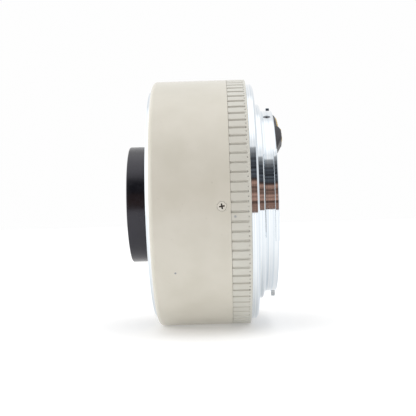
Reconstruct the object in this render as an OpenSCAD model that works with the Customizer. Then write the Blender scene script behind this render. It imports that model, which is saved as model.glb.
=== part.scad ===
// Camera teleconverter: a short optical tube with a lens bayonet in front and a camera bayonet behind.
// X runs along the optical axis, +X to the camera and -X to the lens. The origin is the centre of the
// rear seating face. Angles about X are counted from the top, +Z, towards the near side, -Y.

/* [Barrel] */
// Distance between the front and the rear seating faces
mount_gap = 27.8; // [25:0.1:34]
// Wall of the shell and of the grip ring
shell_wall = 1.8; // [1.2:0.1:2.2]
// Round on the shell's front edge
shell_round = 1.3; // [0.4:0.1:1.6]
// Height of the front ring above the shell's front face
front_ring_proud = 0.9; // [0.3:0.1:1.4]
// Shell material in front of the chassis, on which the shell seats
shell_lip = 0.6; // [0.3:0.1:0.8]
// Distance of the shell's screws from its rear edge
shell_screw_inset = 2.15; // [1.6:0.05:4]
// Head radius of the shell's screws
shell_screw_head_r = 1.15; // [0.9:0.05:1.5]

/* [Grip ring] */
// Width of the grip ring along the axis
grip_w = 5; // [3.5:0.1:7]
// Number of ribs round the grip ring
grip_ribs = 88; // [40:1:110]
// Width of the groove between two ribs
rib_groove_w = 0.45; // [0.25:0.05:0.8]
// Depth of the groove between two ribs
rib_groove_depth = 0.45; // [0.2:0.05:0.9]
// Plain rim behind the ribs
grip_rim_w = 0.5; // [0.3:0.1:1.2]
// Seam between the shell and the grip ring
grip_seam = 0.12; // [0.05:0.01:0.3]

/* [Rear bayonet] */
// Radial step from the barrel down to the rear flange
flange_step = 1.3; // [0.6:0.1:1.7]
// Radial width of the seating face round the locating ring
seat_w = 5.55; // [5.4:0.05:8]
// Thickness of the rear flange
flange_t = 2; // [1.5:0.1:2.5]
// Diameter of the locating ring
spigot_d = 53.9; // [50:0.1:62]
// Height of the locating ring above the seating face
spigot_len = 1.8; // [1.4:0.1:2.2]
// Radial step from the locating ring down to the neck
neck_step = 1.85; // [1.5:0.05:2.2]
// Wall of the neck
neck_wall = 1.1; // [0.8:0.1:1.6]
// Height of the bayonet above the seating face
bayonet_len = 5.2; // [5:0.1:6]
// Thickness of a bayonet lug
lug_t = 1.1; // [0.8:0.1:1.4]
// Radial step from the locating ring down to the lugs
lug_step = 0.25; // [0.15:0.05:0.6]
// Arc of each bayonet lug, degrees
lug_arc = 52; // [40:1:56]
// Thickness of the shim under the rear flange
shim_t = 0.2; // [0.1:0.05:0.5]

/* [Front bayonet] */
// Radial play of a lens's locating ring in the front throat
throat_play = 0.1; // [0.05:0.01:0.2]
// Wall of the skirt that carries the front lugs
skirt_wall = 0.8; // [0.6:0.1:1]
// Thickness of the flat spring behind the front lugs
spring_t = 0.3; // [0.2:0.05:0.4]
// Radius of the shank of the mount screws
mount_screw_r = 0.8; // [0.6:0.05:0.9]
// Head radius of the mount screws
mount_screw_head_r = 1.3; // [1.1:0.05:1.3]
// Length of the mount screws
mount_screw_len = 5.5; // [4:0.1:7]

/* [Contacts] */
// Angle of the middle of both contact blocks, degrees
key_angle = 25; // [0:1:60]
// Arc of both contact blocks, degrees
block_arc = 64; // [62:1:66]
// Radial width of both contact blocks
block_w = 3.5; // [3:0.1:4.5]
// Height of the rear block's low step above the seating face
block_low = 6.1; // [5.9:0.1:6.4]
// Height of the rear block's high step above the seating face
block_high = 7; // [6.8:0.1:7.5]
// Contacts on the low step
low_contacts = 5; // [3:1:5]
// Contacts on the high step
high_contacts = 3; // [2:1:3]
// Angle between neighbouring contacts, degrees
contact_arc = 4; // [3.9:0.1:4.1]
// Arc of the ramp at the end of the rear block's high step, degrees
ramp_arc = 10; // [8:0.5:10.5]
// Radius of a rear contact pad
pad_r = 0.65; // [0.5:0.05:0.7]
// Radius of a front contact pin
pin_r = 0.45; // [0.3:0.05:0.45]
// Height of a front contact pin above its block
pin_proud = 1; // [0.7:0.05:1.2]
// Travel of a front contact pin
pin_travel = 0.6; // [0.4:0.05:0.65]

/* [Lens tube] */
// Outer diameter of the tube where it stands out of the front
tube_d = 32.1; // [30:0.1:33]
// Length of the tube that stands out of the front seating face
tube_proud = 6.3; // [4:0.1:8]
// Wall of the tube round the lens elements
tube_wall = 2.85; // [2.4:0.05:3.1]
// Width of the tube's shoulder
shoulder_w = 3.7; // [3.3:0.1:3.9]
// Thickness of the tube's shoulder
shoulder_t = 1.5; // [1:0.1:2]
// Rear end of the tube behind the seating face
tail_x = 0.5; // [0:0.1:0.8]
// Depth of the open cone behind the rear lens
tail_depth = 4.9; // [3:0.1:6]

/* [Lens elements] */
// Edge thickness of the front lens
front_lens_t = 3.2; // [2.6:0.1:4]
// Edge thickness of the doublet's crown element
crown_t = 1.5; // [1:0.1:2.5]
// Edge thickness of the doublet's flint element
flint_t = 4; // [3.4:0.1:4.6]
// Edge thickness of the middle lens
middle_lens_t = 1.8; // [1.2:0.1:2.6]
// Edge thickness of the rear lens
rear_lens_t = 4.4; // [3.6:0.1:4.8]
// Length of the spacer behind the front lens
front_spacer_len = 1.5; // [1.2:0.1:2.2]
// Length of the spacer behind the doublet
middle_spacer_len = 4.5; // [3.5:0.1:5]
// Radius of the cemented face inside the doublet
cement_radius = 30; // [26:1:40]

/* [Lens lock] */
// Radius of the lock pin
lock_pin_r = 1.3; // [1:0.05:1.3]
// Height of the lock pin above the front seating face
lock_proud = 1.2; // [0.8:0.1:1.5]
// Travel of the lock
lock_travel = 2; // [1.6:0.1:2.4]
// Length of the lock carriage
carriage_len = 4.5; // [4.2:0.1:5.5]
// Width of the lock carriage
carriage_w = 5.6; // [4.6:0.1:7]
// Length of the lock spring at rest
lock_spring_len = 5; // [4.5:0.1:6]
// Height of the release slider above the shell
slider_h = 1.4; // [1:0.1:2]
// Width of the release slider round the shell
slider_w = 10; // [8:0.5:14]

/* [Hidden] */
$fn = 96;

// Clearances, and the small overrun of a cutting tool
slip = 0.05;
easy = 0.2;
over = 1;

// Colours
paint_colour = "#d3ccbd";
bright_colour = "#d9dde0";
black_colour = "#26262a";
frame_colour = "#9a9da0";
gold_colour = "#d8b060";
glass_colour = "#a9c4cc";
board_colour = "#2f6b3c";
flex_colour = "#b8742c";
red_colour = "#c02a22";

// Radii, the barrel's from that of the locating ring
spigot_r = spigot_d / 2;
flange_r = spigot_r + seat_w;
body_r = flange_r + flange_step;
shell_in_r = body_r - shell_wall;
chassis_r = shell_in_r - slip;
front_ring_r = chassis_r - shell_lip;
neck_r = spigot_r - neck_step;
neck_in_r = neck_r - neck_wall;
lug_r = spigot_r - lug_step;
throat_r = spigot_r + throat_play;
skirt_r = throat_r + skirt_wall;
skirt_bore_r = skirt_r + slip;
socket_play = 0.35;
socket_r = throat_r + socket_play;
front_lug_play = 0.3;
front_lug_r = neck_r + front_lug_play;
mount_circle_r = (skirt_bore_r + front_ring_r) / 2;
edge_chamfer = 0.25;
flange_chamfer = 0.65;
spigot_chamfer = 0.45;
ring_bevel_w = 0.35;

// Stations along the axis, rear end
shim_x = -flange_t - shim_t;
grip_rear_x = -flange_t;
shell_rear_x = grip_rear_x - grip_w;
shell_screw_x = shell_rear_x - shell_screw_inset;
lug_front_x = bayonet_len - lug_t;
baffle_t = 1;
baffle_x = -0.2;
baffle_rear_x = baffle_x + baffle_t;
baffle_ledge = 0.8;
neck_screw_x = (spigot_len + bayonet_len) / 2;

// Stations along the axis, front end
front_x = -mount_gap;
spigot_play = 0.3;
ring_back_x = front_x + spigot_len + spigot_play;
shell_front_x = front_x + front_ring_proud;
spring_preload = 0.2;
skirt_x = front_x + lug_front_x + spring_preload - spring_t;
spring_back_x = skirt_x + spring_t;
front_lug_gap = 0.6;
front_lug_back_x = skirt_x - front_lug_gap;
pin_press = 0.5;
block_base = 2.8;
pin_gap = pin_proud - pin_press;
low_face_x = front_x + block_low + pin_gap;
high_face_x = front_x + block_high + pin_gap;
web_x = high_face_x + block_base;
web_t = 1.5;
web_back_x = web_x + web_t;

// Contact layout
block_start = key_angle - block_arc / 2;
block_end = key_angle + block_arc / 2;
step_arc = 9.5;
block_step = key_angle + step_arc;
block_out_r = neck_in_r - slip;
block_in_r = block_out_r - block_w;
contact_r = (block_out_r + block_in_r) / 2;
low_margin_arc = 6;
high_margin_arc = 1.9;
low_start = block_step - low_margin_arc;
high_start = block_step + high_margin_arc;
low_angles = [for (i = [0:low_contacts - 1]) low_start - i * contact_arc];
high_angles = [for (i = [0:high_contacts - 1]) high_start + i * contact_arc];
ramp_start = block_end - ramp_arc;
ramp_run = contact_r * sin(ramp_arc);
ramp_slope = atan((block_high - bayonet_len) / ramp_run);
pad_t = 0.5;
pad_proud = 0.1;
pin_head_step = 0.22;
pin_head_r = pin_r + pin_head_step;
pin_head_t = 0.3;
pin_spring_solid = 0.5;
pin_spring_len = pin_travel + pin_spring_solid;
pin_head_x = web_x - pin_spring_len - pin_head_t;
plug_w = 0.7;
plug_out_r = block_out_r - easy;
plug_arc = 20;
plug_play_arc = 0.5;
over_arc = 1;

// Angles of the bayonets, the lock, the marks and the screws
lug_turn = 62;
lock_turn = 270;
front_index_turn = 180;
rear_index_turn = 240;
front_screw_turn = 30;
rear_screw_turn = 45;
shell_screw_turn = 67.2;
tube_screw_turn = 60;
lug_angles = [for (i = [0:2]) key_angle + lug_turn + 120 * i];
front_lug_extra_arc = 10;
front_lug_arc = lug_arc + front_lug_extra_arc;
lock_angle = key_angle + lock_turn;
front_index_angle = key_angle + front_index_turn;
rear_index_angle = key_angle + rear_index_turn;
front_screw_angles = [for (i = [0:3]) key_angle + front_screw_turn + 90 * i];
rear_screw_angles = [for (i = [0:3]) key_angle + rear_screw_turn + 90 * i];
shell_screw_angles = [for (i = [0:2]) key_angle + shell_screw_turn + 120 * i];
tube_screw_angles = [for (i = [0:2]) key_angle + tube_screw_turn + 120 * i];
index_r = 1.1;
index_t = 0.5;
index_dome = 0.35;
stop_pin_r = 0.6;
stop_circle_r = (front_lug_r + throat_r) / 2;
stop_gap_arc = 2.6;
stop_angle = lug_angles[0] + lug_arc / 2 + stop_gap_arc;

// Lens tube and the stack in it, from the front
tube_r = tube_d / 2;
bore_r = tube_r - tube_wall;
lens_r = bore_r - slip;
rim_w = 1.2;
clear_r = lens_r - rim_w;
tail_step = 0.25;
tail_r = tube_r + tail_step;
mouth_wall = 1.4;
mouth_r = tail_r - mouth_wall;
shoulder_r = tube_r + shoulder_w;
tube_x = front_x - tube_proud;
tube_chamfer = 0.3;
retainer_t = 1.4;
retainer_x = tube_x + tube_chamfer;
front_lens_x = retainer_x + retainer_t;
front_spacer_x = front_lens_x + front_lens_t;
crown_x = front_spacer_x + front_spacer_len;
flint_x = crown_x + crown_t;
middle_spacer_x = flint_x + flint_t;
middle_lens_x = middle_spacer_x + middle_spacer_len;
rear_spacer_x = middle_lens_x + middle_lens_t;
lip_t = 1.2;
lip_x = tail_x - tail_depth - lip_t;
rear_lens_x = lip_x - rear_lens_t;
cement_gap = 0.02;
lens_fn = 720;
front_lens_radii = [120, -45];
crown_front_radius = 38;
flint_rear_radius = 90;
middle_lens_radii = [50, 40];
rear_lens_radii = [-35, 80];

// Screws, each with a cross recess in its head
recess_span = 1.2;
recess_share = 0.6;
tube_screw_circle = (tail_r + shoulder_r) / 2;
small_screw_r = 0.6;
small_head_r = 1.1;
small_head_t = 0.7;
tube_screw_grip = 1.2;
tube_screw_len = shoulder_t + tube_screw_grip;
shell_head_t = 0.9;
shell_shank_r = 0.7;
shell_screw_cover = 1.5;
shell_screw_end_r = socket_r + shell_screw_cover;
block_screw_turn = 2.6;
block_screw_angle = key_angle + block_screw_turn;
block_head_r = 0.95;
block_head_t = 0.5;
block_head_sink = 0.1;
block_screw_len = 2.3;
block_seat_r = neck_r - block_head_t - block_head_sink;

// Circuit board
board_t = 1;
board_gap = 0.6;
board_arc = 100;
board_in_r = shoulder_r + board_gap;
board_out_r = socket_r - board_gap;
board_mid_r = (board_in_r + board_out_r) / 2;
board_x = web_back_x + board_t;
board_screw_arc = 42;
board_screw_angles = [key_angle - board_screw_arc, key_angle + board_screw_arc];
chip_size = [1, 6, 4];
chip_turn = 22;
chip_angle = key_angle + chip_turn;
flex_w = 8;
flex_t = 0.2;

// Lens lock, at its own angle round the axis
carriage_depth = 6.8;
carriage_x = front_x + carriage_depth;
carriage_back_x = carriage_x + carriage_len;
carriage_floor_r = mount_circle_r - lock_pin_r;
carriage_play = 0.4;
carriage_top_r = shell_in_r - carriage_play;
pocket_end_x = carriage_back_x + lock_spring_len;
pocket_floor_r = carriage_floor_r - easy;
lock_pin_seat = 1.9;
lock_pin_end_x = carriage_x + lock_pin_seat;
stem_inset = 0.5;
stem_x = carriage_x + stem_inset;
stem_len = carriage_len - 2 * stem_inset;
stem_w = 4;
slider_front_lap = 1;
slider_rear_lap = 2;
slider_front_x = carriage_x - slider_front_lap;
slider_back_x = carriage_back_x + slider_rear_lap;
slider_under_r = body_r + easy;
slider_top_r = body_r + slider_h;
slider_screw_inset = 1;
slider_screw_x = stem_x + stem_len - slider_screw_inset;
slider_land = 1;
slider_grooves = 5;
lock_spring_r = 1;
lock_wire_r = 0.17;
lock_turns = 6;
pin_spring_r = pin_r + slip;
pin_wire_r = 0.06;
pin_turns = 3;

// Depth of the dish that a lens face of this radius makes at the clear aperture
function sag(radius) = radius - sqrt(radius * radius - clear_r * clear_r);

// Turns Z to X, so that a spun outline lies round the optical axis
module axial() {
    rotate([0, 90, 0]) children();
}

// Turns the top of the model to an angle about the axis
module at(angle) {
    rotate([angle, 0, 0]) children();
}

// A ring from an outline of [radius, station] points
module spun(outline) {
    axial() rotate_extrude() polygon(outline);
}

// Part of such a ring, between two angles
module sector(outline, start, end) {
    axial() rotate([0, 0, start + 180]) rotate_extrude(angle = end - start) polygon(outline);
}

// Outline of a plain rectangle between two radii and two stations
function band(in_r, out_r, x1, x2) = [[in_r, x1], [out_r, x1], [out_r, x2], [in_r, x2]];

// Cylinder on the axis between two stations
module disc(r, x1, x2) {
    translate([x1, 0, 0]) axial() cylinder(r = r, h = x2 - x1);
}

// Cylinder parallel to the axis, at an angle and a distance from it
module rod(angle, circle_r, r, x1, x2) {
    at(angle) translate([0, 0, circle_r]) disc(r, x1, x2);
}

// Cylinder square to the axis, between two distances from it
module spoke(angle, x, r, r1, r2) {
    at(angle) translate([x, 0, r1]) cylinder(r = r, h = r2 - r1);
}

// Cross recess cut down from the plane z = 0
module cross_recess(size, depth) {
    for (turn = [0, 90])
        rotate([0, 0, turn]) cube([size, size / 4, 2 * depth], center = true);
}

// Countersunk screw with its head at z = 0, pointing down; grow widens it into its hole
module countersunk(head_r, shank_r, length, grow) {
    cone_h = head_r - shank_r;
    translate([0, 0, -cone_h]) cylinder(r1 = shank_r + grow, r2 = head_r + grow, h = cone_h);
    translate([0, 0, -length - grow]) cylinder(r = shank_r + grow, h = length + grow - cone_h / 2);
}

// Mount screw with its cross recess, pointing down
module mount_screw() {
    difference() {
        countersunk(mount_screw_head_r, mount_screw_r, mount_screw_len, 0);
        cross_recess(mount_screw_head_r * recess_span,
            (mount_screw_head_r - mount_screw_r) * recess_share);
    }
}

// Cheese head screw with the underside of its head at z = 0, pointing down
module cheese_screw(head_r, head_t, shank_r, length) {
    difference() {
        union() {
            cylinder(r = head_r, h = head_t);
            translate([0, 0, -length]) cylinder(r = shank_r, h = length + head_t / 2);
        }
        translate([0, 0, head_t]) cross_recess(head_r * recess_span, head_t * recess_share);
    }
}

// Places its children at an angle and radius, pointing forward or backward along the axis
module facing(angle, circle_r, x, turn) {
    at(angle) translate([x, 0, circle_r]) rotate([0, turn, 0]) children();
}

// Outline of a domed lens face at station x, bulging along side (-1 front, 1 rear)
module lens_dome(x, radius, side) {
    dish = sag(radius);
    intersection() {
        translate([0, x - side * (radius - dish)]) circle(r = radius, $fn = lens_fn);
        translate([0, x - (side > 0 ? rim_w / 2 : dish + rim_w)])
            square([clear_r, dish + 1.5 * rim_w]);
    }
}

// Outline that hollows a lens face at station x on that side
module lens_hollow(x, radius, side) {
    translate([0, x + side * (radius - sag(radius))]) circle(r = radius, $fn = lens_fn);
}

// Lens element with its edge between two stations; a negative radius is a hollow face
module lens(x1, x2, front_radius, rear_radius) {
    axial() rotate_extrude() difference() {
        union() {
            translate([0, x1]) square([lens_r, x2 - x1]);
            if (front_radius > 0) lens_dome(x1, front_radius, -1);
            if (rear_radius > 0) lens_dome(x2, rear_radius, 1);
        }
        if (front_radius < 0) lens_hollow(x1, -front_radius, -1);
        if (rear_radius < 0) lens_hollow(x2, -rear_radius, 1);
    }
}

// Ring between two lens elements, bevelled inside so that no light glances off it
module spacer(x1, x2) {
    bevel = rim_w / 3;
    spun([[clear_r + bevel, x1], [lens_r, x1], [lens_r, x2], [clear_r + bevel, x2],
        [clear_r, x2 - bevel], [clear_r, x1 + bevel]]);
}

// Points of a coil spring that stands on z = 0
coil_steps = 8;
coil_sides = 6;
function coil_ring(coil_r, wire_r, length, turns, i) =
    let (a = 360 * i / coil_steps, z = wire_r + (length - 2 * wire_r) * i / (turns * coil_steps))
    [for (j = [0:coil_sides - 1]) let (b = 360 * j / coil_sides, r = coil_r + wire_r * cos(b))
        [r * cos(a), r * sin(a), z + wire_r * sin(b)]];

module coil(coil_r, wire_r, length, turns) {
    last = turns * coil_steps;
    rings = [for (i = [0:last]) coil_ring(coil_r, wire_r, length, turns, i)];
    points = [for (ring = rings) for (p = ring) p];
    sides = [for (i = [0:last - 1]) for (j = [0:coil_sides - 1])
        let (a = i * coil_sides + j, b = i * coil_sides + (j + 1) % coil_sides)
        for (face = [[a, a + coil_sides, b], [b, a + coil_sides, b + coil_sides]]) face];
    first_cap = [for (j = [1:coil_sides - 2]) [0, j, j + 1]];
    end = last * coil_sides;
    last_cap = [for (j = [1:coil_sides - 2]) [end, end + j + 1, end + j]];
    polyhedron(points, concat(sides, first_cap, last_cap));
}

module barrel_shell() {
    lip_in_r = front_ring_r + slip;
    round_r = body_r - shell_round;
    color(paint_colour) difference() {
        axial() rotate_extrude() difference() {
            union() {
                translate([lip_in_r, shell_front_x])
                    square([round_r - lip_in_r, shell_rear_x - shell_front_x]);
                translate([lip_in_r, shell_front_x + shell_round])
                    square([body_r - lip_in_r, shell_rear_x - shell_front_x - shell_round]);
                translate([round_r, shell_front_x + shell_round]) circle(r = shell_round);
            }
            translate([0, shell_front_x - over]) square([lip_in_r, mount_gap]);
            translate([0, ring_back_x]) square([shell_in_r, mount_gap]);
        }
        for (angle = shell_screw_angles) {
            spoke(angle, shell_screw_x, shell_shank_r + slip, shell_in_r - over, body_r + over);
            spoke(angle, shell_screw_x, shell_screw_head_r + slip,
                body_r - shell_head_t, body_r + over);
        }
        spoke(rear_index_angle, shell_screw_x, index_r + slip, body_r - index_t, body_r + over);
        at(lock_angle) translate([stem_x - easy, -stem_w / 2 - easy, shell_in_r - over])
            cube([stem_len + lock_travel + 2 * easy, stem_w + 2 * easy, shell_wall + 2 * over]);
    }
}

module grip_ring() {
    front = shell_rear_x + grip_seam;
    groove_end = grip_rear_x - grip_rim_w;
    c = edge_chamfer;
    color(paint_colour) difference() {
        spun([[shell_in_r, front], [body_r - c, front], [body_r, front + c],
            [body_r, grip_rear_x - c], [body_r - c, grip_rear_x], [shell_in_r, grip_rear_x]]);
        for (i = [0:grip_ribs - 1])
            at(key_angle + i * 360 / grip_ribs)
                translate([front - over, -rib_groove_w / 2, body_r - rib_groove_depth])
                    cube([groove_end - front + over, rib_groove_w, rib_groove_depth + over]);
    }
}

module chassis() {
    color(frame_colour) difference() {
        spun([[skirt_bore_r, ring_back_x], [chassis_r, ring_back_x], [chassis_r, shim_x],
            [socket_r, shim_x], [socket_r, web_back_x], [tube_r + slip, web_back_x],
            [tube_r + slip, web_x], [socket_r, web_x], [socket_r, spring_back_x],
            [skirt_bore_r, spring_back_x]]);
        for (angle = front_screw_angles)
            rod(angle, mount_circle_r, mount_screw_r + slip,
                ring_back_x - over, front_x + mount_screw_len + easy);
        for (angle = rear_screw_angles)
            rod(angle, mount_circle_r, mount_screw_r + slip,
                -mount_screw_len - easy, shim_x + over);
        for (angle = shell_screw_angles)
            spoke(angle, shell_screw_x, shell_shank_r + slip,
                shell_screw_end_r - easy, chassis_r + over);
        for (angle = tube_screw_angles)
            rod(angle, tube_screw_circle, small_screw_r + slip, web_x - over, web_back_x + over);
        for (angle = board_screw_angles)
            rod(angle, board_mid_r, small_screw_r + slip, web_x - over, web_back_x + over);
        sector(band(plug_out_r - plug_w - slip, plug_out_r + slip, web_x - over, web_back_x + over),
            key_angle - plug_arc / 2 - plug_play_arc, key_angle + plug_arc / 2 + plug_play_arc);
        rod(lock_angle, mount_circle_r, lock_pin_r + slip, ring_back_x - over, carriage_x);
        at(lock_angle) translate([carriage_x - easy, -carriage_w / 2 - easy, pocket_floor_r])
            cube([pocket_end_x - carriage_x + easy, carriage_w + 2 * easy,
                chassis_r - pocket_floor_r + over]);
    }
}

module front_mount_ring() {
    c = edge_chamfer;
    color(bright_colour) difference() {
        union() {
            spun([[throat_r + c, front_x], [front_ring_r - ring_bevel_w, front_x],
                [front_ring_r, shell_front_x], [front_ring_r, ring_back_x], [skirt_r, ring_back_x],
                [skirt_r, skirt_x], [throat_r, skirt_x], [throat_r, front_x + c]]);
            for (angle = lug_angles)
                sector(band(front_lug_r, throat_r + skirt_wall / 2, ring_back_x, front_lug_back_x),
                    angle - front_lug_arc / 2, angle + front_lug_arc / 2);
        }
        for (angle = front_screw_angles)
            facing(angle, mount_circle_r, front_x, -90)
                countersunk(mount_screw_head_r, mount_screw_r, mount_screw_len, slip);
        rod(lock_angle, mount_circle_r, lock_pin_r + slip, front_x - over, ring_back_x + over);
        rod(front_index_angle, mount_circle_r, index_r + slip, front_x - over, front_x + index_t);
        rod(stop_angle, stop_circle_r, stop_pin_r + slip,
            ring_back_x + stop_pin_r, front_lug_back_x + over);
    }
}

module bayonet_spring() {
    leaf_inset_arc = 6;
    leaf_arc = lug_arc - 2 * leaf_inset_arc;
    slit = 0.3;
    slit_lead_arc = 1;
    hold_arc = 6;
    ring_in_r = throat_r + slip;
    color(bright_colour) difference() {
        union() {
            spun(band(ring_in_r, skirt_r, skirt_x, spring_back_x));
            for (angle = lug_angles)
                sector(band(front_lug_r + slit, ring_in_r + 1.5 * slit, skirt_x, spring_back_x),
                    angle - leaf_arc / 2, angle + leaf_arc / 2);
        }
        for (angle = lug_angles)
            sector(band(ring_in_r - slit / 2, ring_in_r + slit / 2, skirt_x - over, spring_back_x + over),
                angle - leaf_arc / 2 - slit_lead_arc, angle + leaf_arc / 2 - hold_arc);
    }
}

module stop_pin() {
    color(bright_colour)
        rod(stop_angle, stop_circle_r, stop_pin_r, ring_back_x + stop_pin_r, front_x + bayonet_len + easy);
}

module front_mount_screws() {
    color(bright_colour)
        for (angle = front_screw_angles)
            facing(angle, mount_circle_r, front_x, -90) mount_screw();
}

module front_index_dot() {
    color(red_colour) rod(front_index_angle, mount_circle_r, index_r, front_x, front_x + index_t);
}

module front_contact_block() {
    color(black_colour) difference() {
        union() {
            sector(band(block_in_r, block_out_r, low_face_x, web_x), block_start, block_end);
            sector(band(plug_out_r - plug_w, plug_out_r, web_x - over, web_back_x),
                key_angle - plug_arc / 2, key_angle + plug_arc / 2);
        }
        sector(band(block_in_r - over, block_out_r + over, low_face_x - over, high_face_x),
            block_step, block_end + over_arc);
        for (angle = concat(low_angles, high_angles)) {
            rod(angle, contact_r, pin_r + slip, low_face_x - over, pin_head_x);
            rod(angle, contact_r, pin_head_r + slip, pin_head_x - slip, web_x + over);
        }
    }
}

module contact_pin(angle, face_x) {
    tip_x = face_x - pin_proud;
    rod(angle, contact_r, pin_r, tip_x + pin_r, pin_head_x + pin_head_t);
    at(angle) translate([tip_x + pin_r, 0, contact_r]) sphere(r = pin_r);
    rod(angle, contact_r, pin_head_r, pin_head_x, pin_head_x + pin_head_t);
}

module front_contact_pins() {
    color(gold_colour) {
        for (angle = low_angles) contact_pin(angle, low_face_x);
        for (angle = high_angles) contact_pin(angle, high_face_x);
    }
}

module front_contact_springs() {
    color(bright_colour)
        for (angle = concat(low_angles, high_angles))
            facing(angle, contact_r, web_x - pin_spring_len, 90)
                coil(pin_spring_r, pin_wire_r, pin_spring_len, pin_turns);
}

module lens_tube() {
    c = tube_chamfer;
    color(black_colour) difference() {
        spun([[bore_r, tube_x], [tube_r - c, tube_x], [tube_r, tube_x + c], [tube_r, web_back_x],
            [shoulder_r, web_back_x], [shoulder_r, web_back_x + shoulder_t],
            [tail_r, web_back_x + shoulder_t], [tail_r, tail_x], [mouth_r, tail_x],
            [clear_r, lip_x + lip_t], [clear_r, lip_x], [bore_r, lip_x]]);
        for (angle = tube_screw_angles)
            rod(angle, tube_screw_circle, small_screw_r + slip,
                web_back_x - over, web_back_x + shoulder_t + over);
    }
}

module front_lens() {
    color(glass_colour)
        lens(front_lens_x, front_spacer_x, front_lens_radii[0], front_lens_radii[1]);
}

module doublet_crown() {
    color(glass_colour) lens(crown_x, flint_x - cement_gap, crown_front_radius, cement_radius);
}

module doublet_flint() {
    color(glass_colour) lens(flint_x, middle_spacer_x, -cement_radius, flint_rear_radius);
}

module middle_lens() {
    color(glass_colour)
        lens(middle_lens_x, rear_spacer_x, middle_lens_radii[0], middle_lens_radii[1]);
}

module rear_lens() {
    color(glass_colour) lens(rear_lens_x, lip_x, rear_lens_radii[0], rear_lens_radii[1]);
}

module front_spacer() {
    color(black_colour) spacer(front_spacer_x, crown_x);
}

module middle_spacer() {
    color(black_colour) spacer(middle_spacer_x, middle_lens_x);
}

module rear_spacer() {
    color(black_colour) spacer(rear_spacer_x, rear_lens_x);
}

// Two notches take the pin spanner that screws the ring in
module front_retainer() {
    notch_w = 1.2;
    notch_depth = 0.6;
    color(black_colour) difference() {
        spun([[clear_r + retainer_t / 3, retainer_x], [lens_r, retainer_x],
            [lens_r, front_lens_x], [clear_r, front_lens_x]]);
        for (turn = [0, 180])
            at(key_angle + turn) translate([retainer_x - over, -notch_w / 2, clear_r - over])
                cube([over + notch_depth, notch_w, rim_w + 2 * over]);
    }
}

module tube_screws() {
    color(bright_colour)
        for (angle = tube_screw_angles)
            facing(angle, tube_screw_circle, web_back_x + shoulder_t, 90)
                cheese_screw(small_head_r, small_head_t, small_screw_r, tube_screw_len);
}

module circuit_board() {
    color(board_colour) difference() {
        sector(band(board_in_r, board_out_r, web_back_x, board_x),
            key_angle - board_arc / 2, key_angle + board_arc / 2);
        for (angle = board_screw_angles)
            rod(angle, board_mid_r, small_screw_r + slip, web_back_x - over, board_x + over);
    }
}

module control_chip() {
    color(black_colour)
        at(chip_angle) translate([board_x, -chip_size[1] / 2, board_mid_r - chip_size[2] / 2])
            cube(chip_size);
}

module board_screws() {
    color(bright_colour)
        for (angle = board_screw_angles)
            facing(angle, board_mid_r, board_x, 90)
                cheese_screw(small_head_r, small_head_t, small_screw_r, board_t + web_t / 2);
}

module flex_strip() {
    color(flex_colour)
        at(key_angle) translate([board_x, -flex_w / 2, contact_r - flex_t / 2])
            cube([baffle_rear_x - board_x, flex_w, flex_t]);
}

module rear_mount() {
    c = edge_chamfer;
    ledge_r = neck_in_r - baffle_ledge;
    lug_root_r = neck_r - neck_wall / 2;
    color(bright_colour) difference() {
        union() {
            spun([[ledge_r, -flange_t], [flange_r, -flange_t], [flange_r, -flange_chamfer],
                [flange_r - flange_chamfer, 0], [spigot_r, 0],
                [spigot_r, spigot_len - spigot_chamfer], [spigot_r - spigot_chamfer, spigot_len],
                [neck_r + c, spigot_len],
                [neck_r, spigot_len + c], [neck_r, bayonet_len - c], [neck_r - c, bayonet_len],
                [neck_in_r, bayonet_len], [neck_in_r, baffle_x], [ledge_r, baffle_x]]);
            for (angle = lug_angles)
                sector([[lug_root_r, lug_front_x], [lug_r, lug_front_x], [lug_r, bayonet_len - c],
                    [lug_r - c, bayonet_len], [lug_root_r, bayonet_len]],
                    angle - lug_arc / 2, angle + lug_arc / 2);
        }
        for (angle = rear_screw_angles)
            facing(angle, mount_circle_r, 0, 90)
                countersunk(mount_screw_head_r, mount_screw_r, mount_screw_len, slip);
        rod(lock_angle, mount_circle_r, lock_pin_r + easy, -flange_t - over, over);
        spoke(block_screw_angle, neck_screw_x, small_screw_r + slip, neck_in_r - over, neck_r + over);
        spoke(block_screw_angle, neck_screw_x, block_head_r + slip, block_seat_r, neck_r + over);
    }
}

module rear_mount_screws() {
    color(bright_colour)
        for (angle = rear_screw_angles)
            facing(angle, mount_circle_r, 0, 90) mount_screw();
}

module mount_shim() {
    color(gold_colour) difference() {
        spun(band(socket_r, chassis_r, shim_x, -flange_t));
        for (angle = rear_screw_angles)
            rod(angle, mount_circle_r, mount_screw_r + easy, shim_x - over, over);
    }
}

module rear_baffle() {
    color(black_colour) difference() {
        spun(band(tail_r + slip, neck_in_r - slip, baffle_x, baffle_rear_x));
        at(key_angle) translate([baffle_x - over, -flex_w / 2 - easy, contact_r - flex_t / 2 - easy])
            cube([baffle_t + 2 * over, flex_w + 2 * easy, flex_t + 2 * easy]);
    }
}

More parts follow.
